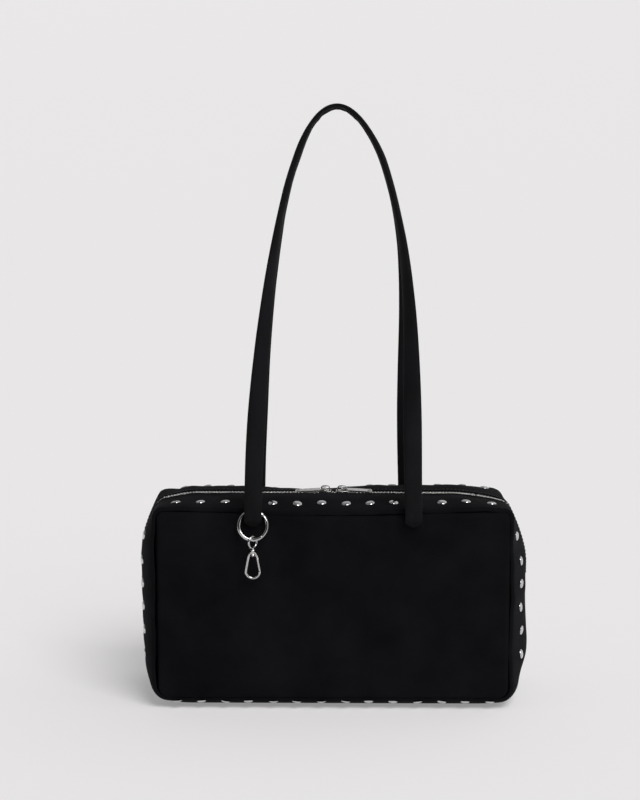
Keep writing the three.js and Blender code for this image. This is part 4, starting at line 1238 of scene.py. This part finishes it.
for end, turn in TURNS:
    slider_bm = make_slider()
    slider_bm.transform(Matrix.Translation((0, 0, CHAIN_Z)) @ Matrix.Rotation(turn, 4, "Z"))
    slider = make_piece(f"{end}_zip_slider", slider_bm, slider_metal, "slider_metal", f"{end}_slider")
    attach(slider, f"{end}_slider")

# Each pull is a flat nickel tab with a window for the bridge, whose end bar turns under the bridge, and a
# small hole at its round tip.
pull_low, pull_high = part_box("right_pull")
PULL_THICK = pull_high.z - pull_low.z
PULL_HALF = pull_high.y
PULL_ROUND = 0.0003
BAR_X = pull_low.x + PULL_THICK / 2
WINDOW_LONG = 0.0037
WINDOW_HALF = 0.0014
HOLE_RADIUS = 0.0011
ROUND_STEPS = 20
RIM_ANGLE = 0.7
PULL_DROOP = math.radians(4)
PULL_ROLL = math.radians(14)
PULL_MORE = 0.003

pull_metal = plated("pull_nickel", (0.78, 0.77, 0.76), (0.56, 0.55, 0.54), smooth=0.1, hazy=0.28)


def round_line(x, radius, low, high, count):
    """Points along an arc round a place on the pull's middle line."""
    turns = [lerp(low, high, step / ROUND_STEPS) for step in range(count)]
    return [(x + radius * math.cos(turn), radius * math.sin(turn)) for turn in turns]


def make_pull():
    """The right pull, lying flat: its outline, window and hole filled in, drawn up and rounded off."""
    bm = bmesh.new()
    near = BAR_X + PULL_THICK / 2
    far = near + WINDOW_LONG
    tip = pull_high.x + PULL_MORE - PULL_HALF
    end = round_line(tip, PULL_HALF, -math.pi / 2, math.pi / 2, ROUND_STEPS + 1)
    outer = [(pull_low.x, -PULL_HALF), *end, (pull_low.x, PULL_HALF)]
    window = [(near, -WINDOW_HALF), (far, -WINDOW_HALF), (far, WINDOW_HALF), (near, WINDOW_HALF)]
    hole = round_line(tip, HOLE_RADIUS, 0, 2 * math.pi, ROUND_STEPS)
    edges = []
    for loop in (outer, window, hole):
        verts = [bm.verts.new((x, y, pull_low.z)) for x, y in loop]
        edges += [bm.edges.new(pair) for pair in zip(verts, verts[1:] + verts[:1])]
    bmesh.ops.triangle_fill(bm, edges=edges, use_beauty=True, use_dissolve=False)
    thicken(bm, bm.faces[:], PULL_THICK)
    bmesh.ops.recalc_face_normals(bm, faces=bm.faces[:])
    sharp = [edge for edge in bm.edges if len(edge.link_faces) == 2 and edge.calc_face_angle() > RIM_ANGLE]
    rims = [edge for edge in sharp if abs(edge.verts[0].co.z - edge.verts[1].co.z) < SAME_PLACE]
    round_edges(bm, rims, PULL_ROUND, segments=2, clamp_overlap=True)
    return bm


for end, turn in TURNS:
    pull_bm = make_pull()
    hinge = Matrix.Translation((BAR_X, 0, (pull_low.z + pull_high.z) / 2))
    lie = Matrix.Rotation(math.cos(turn) * PULL_ROLL, 4, "X") @ Matrix.Rotation(PULL_DROOP, 4, "Y")
    pull_bm.transform(Matrix.Rotation(turn, 4, "Z") @ hinge @ lie @ hinge.inverted())
    pull = make_piece(f"{end}_zip_pull", pull_bm, pull_metal, "slider_metal", f"{end}_pull")
    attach(pull, f"{end}_pull")

# Each shoulder strap is a stuffed tube of twill. It stands flat on the panel at its sewn ends, turns a
# quarter on its way up, and creases on the inside of its bend. The ends are pinched and tacked down.
root_low, root_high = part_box("front_left_strap_root")
STRAP_X = -(root_low.x + root_high.x) / 2
STRAP_Y, STRAP_Z = joints["front_strap_fold"]["pos_m"][1:]
STRAP_WIDE = root_high.x - root_low.x
STRAP_THICK = 0.0062
STRAP_RISE = 0.3148
STRAP_APEX_Y = -0.0069
STRAP_NARROWING = 0.11
STRAP_ARCH = 2 / 3.15
ROOT_DROP = STRAP_Z - root_low.z - 0.003
ROOT_BACK = root_high.y - 0.0018
ROOT_STEPS = 20
ROUTE_STEPS = 3000
STRAP_STEPS = 460
STRAP_SIDES = 36
TANGENT_REACH = 0.002
LEAN = math.atan2(STRAP_APEX_Y - STRAP_Y, STRAP_RISE)
STRAP_OUT = Vector((0, -math.cos(LEAN), math.sin(LEAN)))

# How the strap changes on its way: near its tips by distance, and further up by shares of its rise.
TIP_LONG = 0.0075
TIP_WIDE = 0.1
TIP_THICK = 0.3
TIP_FULL = 0.016
PINCH = 0.0008
PINCH_WIDE = 0.25
PINCH_MIDDLE = 0.008
PINCH_REACH = 0.007
TWIST_BETWEEN = (0.2, 0.78)
FULLER = 0.09
FULLER_MIDDLE = 0.2
FULLER_REACH = 0.15
THINNER = 0.13
BLUNTNESS = 0.85
TOP_BETWEEN = (0.86, 1)
TOP_NARROWER = 0.3
TOP_THINNER = 0.32
CREASE_BETWEEN = (0.90, 0.99)
STRAP_CREASE = 0.0011
STRAP_CREASES = (160, 1.5)
STRAP_LUMP = 0.00035
STRAP_LUMPS = (38, 0.8)
LUMP_BETWEEN = (0.01, 0.03)
STRAP_SWAY = 0.0042
SWAY_BETWEEN = (0.05, 0.7)
SWAY_BACK = 0.4
BACK_STRAY_LEFT = 0.0012
BACK_STRAY_RIGHT = 0.0028
BACK_STRAY_BETWEEN = (0.3, 0.75)
BACK_STRAP_DROP = 0.0016
STRAP_DROP_BETWEEN = (0.3, 1)


def strap_middle(share):
    """The strap's middle line at a share of its arch, from the left root to the right one."""
    turn = math.pi * (share - 0.5)
    rise = max(math.cos(turn), 0) ** STRAP_ARCH
    x = STRAP_X * (1 - STRAP_NARROWING * rise) * math.sin(turn)
    return Vector((x, STRAP_Y + STRAP_RISE * rise * math.tan(LEAN), STRAP_Z + STRAP_RISE * rise))


def strap_route():
    """Points close together along the whole strap, with the distance run at each."""
    foot = []
    for step in range(ROOT_STEPS):
        share = step / ROOT_STEPS
        y = lerp(ROOT_BACK, STRAP_Y, smoothstep(share, 0, 1))
        foot.append(Vector((-STRAP_X, y, STRAP_Z - ROOT_DROP * (1 - share))))
    shares = [(1 - math.cos(math.pi * step / ROUTE_STEPS)) / 2 for step in range(ROUTE_STEPS + 1)]
    arch = [strap_middle(share) for share in shares]
    points = foot + arch + [Vector((-p.x, p.y, p.z)) for p in reversed(foot)]
    runs = [0]
    for before, after in zip(points, points[1:]):
        runs.append(runs[-1] + (after - before).length)
    return points, runs


route, route_runs = strap_route()
STRAP_LONG = route_runs[-1]
STRAP_ROUND = math.pi * (STRAP_WIDE + STRAP_THICK) / 2


def strap_at(run):
    """The place on the strap's route at a distance along it."""
    low, high = 0, len(route) - 1
    while high - low > 1:
        middle = (low + high) // 2
        if route_runs[middle] <= run:
            low = middle
        else:
            high = middle
    share = (run - route_runs[low]) / max(route_runs[high] - route_runs[low], 1e-9)
    return route[low].lerp(route[high], clamp(share))


def strap_section(run):
    """The strap's middle, its two half-widths across it, and how high and how near its ends it is."""
    middle = strap_at(run)
    ahead = strap_at(min(run + TANGENT_REACH, STRAP_LONG))
    tangent = (ahead - strap_at(max(run - TANGENT_REACH, 0))).normalized()
    rise = max((middle.z - STRAP_Z) / STRAP_RISE, 0)
    start, full = TWIST_BETWEEN
    twist = clamp((rise - start) / (full - start)) * math.pi / 2
    broad = tangent.cross(STRAP_OUT).normalized()
    broad.rotate(Matrix.Rotation(twist, 3, tangent))
    narrow = tangent.cross(broad)
    tip = min(run, STRAP_LONG - run)
    return middle, broad, narrow, rise, tip


def strap_cut(u, v):
    """The strap's flat cut, which is rolled up into a tube."""
    return u * STRAP_LONG, v * STRAP_ROUND


def strap_shape(facing):
    """The front strap's cover, or with facing -1 the back one's, turned round and sewn a little aside."""

    def shape(run, around):
        middle, broad, narrow, rise, tip = strap_section(run)
        turn = -2 * math.pi * around / STRAP_ROUND
        across, out = math.cos(turn), math.sin(turn)
        blunt = 1 - min(tip / TIP_LONG, 1)
        top = smoothstep(rise, *TOP_BETWEEN)
        fullness = 1 + FULLER * hump(rise, FULLER_MIDDLE, FULLER_REACH) - TOP_NARROWER * top
        wide = STRAP_WIDE / 2 * lerp(TIP_WIDE, fullness, math.sqrt(1 - blunt * blunt))
        stuffed = 1 - THINNER * rise - TOP_THINNER * top
        thick = STRAP_THICK / 2 * lerp(TIP_THICK, stuffed, smoothstep(tip, 0, TIP_FULL))
        across = math.copysign(abs(across) ** BLUNTNESS, across)
        pinch = PINCH * hump(across, 0, PINCH_WIDE) * hump(tip, PINCH_MIDDLE, PINCH_REACH)
        bend = smoothstep(rise, *CREASE_BETWEEN)
        inside = max(0, -(narrow * out).normalized().z) if bend else 0
        crease = STRAP_CREASE * bend * inside * ripple((run, across), STRAP_CREASES, seed=4.0 * facing)
        lump = STRAP_LUMP * ripple((run, across), STRAP_LUMPS, seed=1.7 * facing)
        lump *= smoothstep(tip, *LUMP_BETWEEN)
        place = middle + broad * wide * across + narrow * (out * (thick + (crease + lump) - pinch))
        x = facing * place.x + STRAP_SWAY * (smoothstep(rise, *SWAY_BETWEEN) - SWAY_BACK * top)
        z = place.z
        if facing < 0:
            stray = BACK_STRAY_RIGHT if middle.x < 0 else BACK_STRAY_LEFT
            x -= stray * (1 - smoothstep(rise, *BACK_STRAY_BETWEEN))
            z -= BACK_STRAP_DROP * smoothstep(rise, *STRAP_DROP_BETWEEN)
        return Vector((x, facing * place.y, z))

    return shape


strap_cloth = woven(
    "strap_twill",
    {"Specular IOR Level": 0.1, "Sheen Weight": 0.01, "Sheen Roughness": 0.4},
    threads=1700.0,
    dark=(0.0029, 0.0026, 0.0034),
    light=(0.0078, 0.0072, 0.0089),
    rough=(0.9, 0.7),
    depth=0.00012,
)
for side, facing in SIDES:
    strap_bm = cloth_sheet(STRAP_STEPS, STRAP_SIDES, strap_cut, strap_shape(facing), 0)
    bmesh.ops.remove_doubles(strap_bm, verts=strap_bm.verts[:], dist=SAME_PLACE)
    close_ends(strap_bm)
    strap = make_piece(
        f"{side}_shoulder_strap",
        strap_bm,
        strap_cloth,
        "strap_fabric",
        f"{side}_strap",
        f"{side}_strap_core",
        f"{side}_left_strap_root",
        f"{side}_right_strap_root",
    )
    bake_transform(strap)

# The spring-gate ring is polished nickel wire bent to a circle round the left front strap. It hangs on its
# top arc behind the strap, and tilts forward over the seam.
RING_TILT = math.radians(18)
RING_MIDDLE = 0.011
RING_WIRE = 0.0015
GATE_WIRE = 0.0013
GATE_TOP = math.radians(42)
GATE_BOTTOM = math.radians(-50)
RING_TOP_GAP = 0.1
RING_FOOT_GAP = 0.05
RING_FRAME = Matrix.Translation(joints["ring_swing"]["pos_m"]) @ Matrix.Rotation(-RING_TILT, 4, "X")
WIRE_DOME = 0.6
DOME_PROFILE = ((0.3, 0.95), (0.6, 0.8), (0.85, 0.52), (1.0, 0.2))

ring_metal = plated("ring_nickel", (0.56, 0.555, 0.55), (0.36, 0.355, 0.35), smooth=0.05, hazy=0.16)


def ring_arc(low, high, steps):
    """Places along the ring from one angle to another, with the ring's top at the origin."""
    turns = [lerp(low, high, step / steps) for step in range(steps + 1)]
    return [RING_MIDDLE * Vector((math.cos(turn), 0, math.sin(turn) - 1)) for turn in turns]


def wire(bm, points, half, sides):
    """A wire in an upright plane through points, with softly domed ends."""
    stations = []
    for step, point in enumerate(points):
        before, after = points[max(step - 1, 0)], points[min(step + 1, len(points) - 1)]
        along = (after - before).normalized()
        across = Vector((0, 1, 0))
        stations.append((point, across.cross(along) * half, across * half))
    head = (points[0] - points[1]).normalized() * half * WIRE_DOME
    tail = (points[-1] - points[-2]).normalized() * half * WIRE_DOME
    caps = []
    for place, broad, narrow, reach in ((*stations[0], head), (*stations[-1], tail)):
        caps.append([(place + reach * far, broad * slim, narrow * slim) for far, slim in DOME_PROFILE])
    rod(bm, caps[0][::-1] + stations + caps[1], sides)


ring_bm = bmesh.new()
ring_line = ring_arc(GATE_TOP + RING_TOP_GAP, 2 * math.pi + GATE_BOTTOM - RING_FOOT_GAP, steps=72)
wire(ring_bm, ring_line, RING_WIRE, sides=20)
ring_bm.transform(RING_FRAME)
ring = make_piece("split_ring", ring_bm, ring_metal, "ring_metal", "gate_ring")
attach(ring, "ring")

# The ring's gate is a lighter bent wire, hinged to the ring on a riveted pin at its top. A spring inside
# keeps it shut at its foot.
GATE_GAP = 0.02
RING_PIN = 0.0009

gate_bm = bmesh.new()
wire(gate_bm, ring_arc(GATE_BOTTOM + GATE_GAP, GATE_TOP - GATE_GAP, steps=36), GATE_WIRE, sides=20)
gate_bm.transform(RING_FRAME)
gate = make_piece("split_ring_gate", gate_bm, ring_metal, "ring_metal", "ring_gate")
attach(gate, "ring_gate")


def rivet(place, half_long, radius):
    """A cross pin with a low dome at each end."""
    bm = bmesh.new()
    head = [(0, half_long + 0.0003), (0.55, half_long + 0.0002), (1, half_long - 0.0001), (1, 0)]
    whole = head + [(across, -up) for across, up in head[-2::-1]]
    spin_shape(bm, [(radius * across, up, 0) for across, up in whole], (0, 1, 0), steps=16)
    bmesh.ops.translate(bm, vec=place, verts=bm.verts[:])
    bmesh.ops.recalc_face_normals(bm, faces=bm.faces[:])
    return bm


pin_bm = rivet(ring_arc(GATE_TOP, GATE_TOP, steps=1)[0], GATE_WIRE, RING_PIN)
pin_bm.transform(RING_FRAME)
ring_pin = make_piece("split_ring_rivet", pin_bm, ring_metal, "ring_metal", "ring_gate_pin")
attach(ring_pin, "ring")

# The clasp hangs on the ring by its eye, a closed loop of wire. The eye carries a turned post with a head,
# and the hook's collar turns on it.
CLASP_FRAME = Matrix.Translation(joints["clasp_swing"]["pos_m"])
EYE_MIDDLE = 0.0045
EYE_WIRE = 0.0009
EYE_DROP = 0.0018
EYE_TWIST = math.radians(-40)
EYE_STEPS = 40
COLLAR_TOP = -0.0075
COLLAR_BOTTOM = -0.0121
POST_BOTTOM = COLLAR_BOTTOM - 0.0011
POST_PROFILE = (
    (0, POST_BOTTOM),
    (0.0015, POST_BOTTOM + 0.0001),
    (0.0018, POST_BOTTOM + 0.0005),
    (0.0015, COLLAR_BOTTOM - 0.0003),
    (0.001, COLLAR_BOTTOM - 0.0003),
    (0.001, COLLAR_TOP + 0.0002),
    (0.0014, COLLAR_TOP + 0.0009),
    (0, COLLAR_TOP + 0.0012),
)


def turned(bm, profile, steps):
    """A turned shape on the upright axis, from radius and height pairs."""
    spin_shape(bm, [(radius, 0, up) for radius, up in profile], (0, 0, 1), steps)
    bmesh.ops.recalc_face_normals(bm, faces=bm.faces[:])


eye_bm = bmesh.new()
eye_loop = []
for step in range(EYE_STEPS):
    turn = 2 * math.pi * step / EYE_STEPS
    out = Vector((0, math.cos(turn), math.sin(turn)))
    eye_loop.append((out * EYE_MIDDLE, out * EYE_WIRE, Vector((EYE_WIRE, 0, 0))))
rod(eye_bm, eye_loop, sides=14, closed=True)
eye_bm.transform(Matrix.Translation((0, 0, -EYE_DROP)) @ Matrix.Rotation(EYE_TWIST, 4, "Z"))
turned(eye_bm, POST_PROFILE, steps=20)
eye_bm.transform(CLASP_FRAME)
eye = make_piece("swivel_eye", eye_bm, ring_metal, "ring_metal", "clasp_eye")
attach(eye, "clasp_eye")

# The clasp hook is a drop of nickel wire under a turned collar with two beads. Its right side is open, for
# the gate.
HOOK_WIRE = 0.001
HOOK_REACH = 0.0054
HOOK_CENTRE = -0.0251
HOOK_HINGE = Vector((0.0036, 0, -0.0153))
HOOK_TIP = Vector((HOOK_REACH, 0, HOOK_CENTRE))
HOOK_ROOT = Vector((0.0017, 0, -0.01057))
HOOK_SHOULDER = Vector((0.0031, 0, -0.0131))
STUB_END = HOOK_HINGE + Vector((-0.0001, 0, 0.0011))
TIP_END = HOOK_TIP + Vector((0, 0, -0.0004))
LEFTWARD = Vector((-1, 1, 1))
BOW_STEPS = 8
COLLAR_PROFILE = (
    (0.0013, COLLAR_TOP),
    (0.0019, COLLAR_TOP - 0.0001),
    (0.0022, COLLAR_TOP - 0.0005),
    (0.0019, COLLAR_TOP - 0.0009),
    (0.0017, COLLAR_TOP - 0.0012),
    (0.0017, COLLAR_BOTTOM + 0.0011),
    (0.0020, COLLAR_BOTTOM + 0.0008),
    (0.0022, COLLAR_BOTTOM + 0.0004),
    (0.0019, COLLAR_BOTTOM),
    (0.0013, COLLAR_BOTTOM),
    (0.0013, COLLAR_TOP),
)


def smooth_line(points, steps):
    """A smooth line through points, with even steps between each two."""
    padded = [2 * points[0] - points[1], *points, 2 * points[-1] - points[-2]]
    line = []
    for a, b, c, d in zip(padded, padded[1:], padded[2:], padded[3:]):
        slope = c - a
        bend = 2 * a - 5 * b + 4 * c - d
        twist = 3 * b - a - 3 * c + d
        for step in range(steps):
            t = step / steps
            line.append(0.5 * (2 * b + slope * t + bend * t**2 + twist * t**3))
    return line + [points[-1]]


hook_bm = bmesh.new()
bow = []
for step in range(BOW_STEPS):
    turn = math.pi * (1 + step / BOW_STEPS)
    bow.append(Vector((HOOK_REACH * math.cos(turn), 0, HOOK_CENTRE + HOOK_REACH * math.sin(turn))))
leg = [HOOK_ROOT * LEFTWARD, HOOK_SHOULDER * LEFTWARD]
wire(hook_bm, smooth_line([*leg, *bow, TIP_END], steps=6), HOOK_WIRE, sides=16)
stub_bm = bmesh.new()
wire(stub_bm, smooth_line([HOOK_ROOT, HOOK_SHOULDER, STUB_END], steps=5), HOOK_WIRE, sides=16)
collar_bm = bmesh.new()
turned(collar_bm, COLLAR_PROFILE, steps=24)
for extra in (stub_bm, collar_bm):
    extra_mesh = small_shape("hook_part", extra)
    hook_bm.from_mesh(extra_mesh)
    bpy.data.meshes.remove(extra_mesh)
hook_bm.transform(CLASP_FRAME)
hook = make_piece("swivel_hook", hook_bm, ring_metal, "ring_metal", "clasp_hook")
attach(hook, "clasp_hook")

# The hook's gate is a straight sprung wire from a small rivet under the collar down to the hook's tip. The
# rivet goes through the hook's short leg.
HOOK_GATE_WIRE = 0.00085
HOOK_PIN = 0.0007
GATE_SHARES = (0.02, 0.2, 0.4, 0.6, 0.8, 0.94)

hook_gate_bm = bmesh.new()
gate_line = [HOOK_HINGE.lerp(HOOK_TIP, share) for share in GATE_SHARES]
wire(hook_gate_bm, gate_line, HOOK_GATE_WIRE, sides=16)
hook_gate_bm.transform(CLASP_FRAME)
hook_gate = make_piece("swivel_hook_gate", hook_gate_bm, ring_metal, "ring_metal", "clasp_gate")
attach(hook_gate, "clasp_gate")
hook_pin_bm = rivet(HOOK_HINGE, HOOK_GATE_WIRE, HOOK_PIN)
hook_pin_bm.transform(CLASP_FRAME)
hook_pin = make_piece("swivel_hook_rivet", hook_pin_bm, ring_metal, "ring_metal", "clasp_gate_pin")
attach(hook_pin, "clasp_hook")
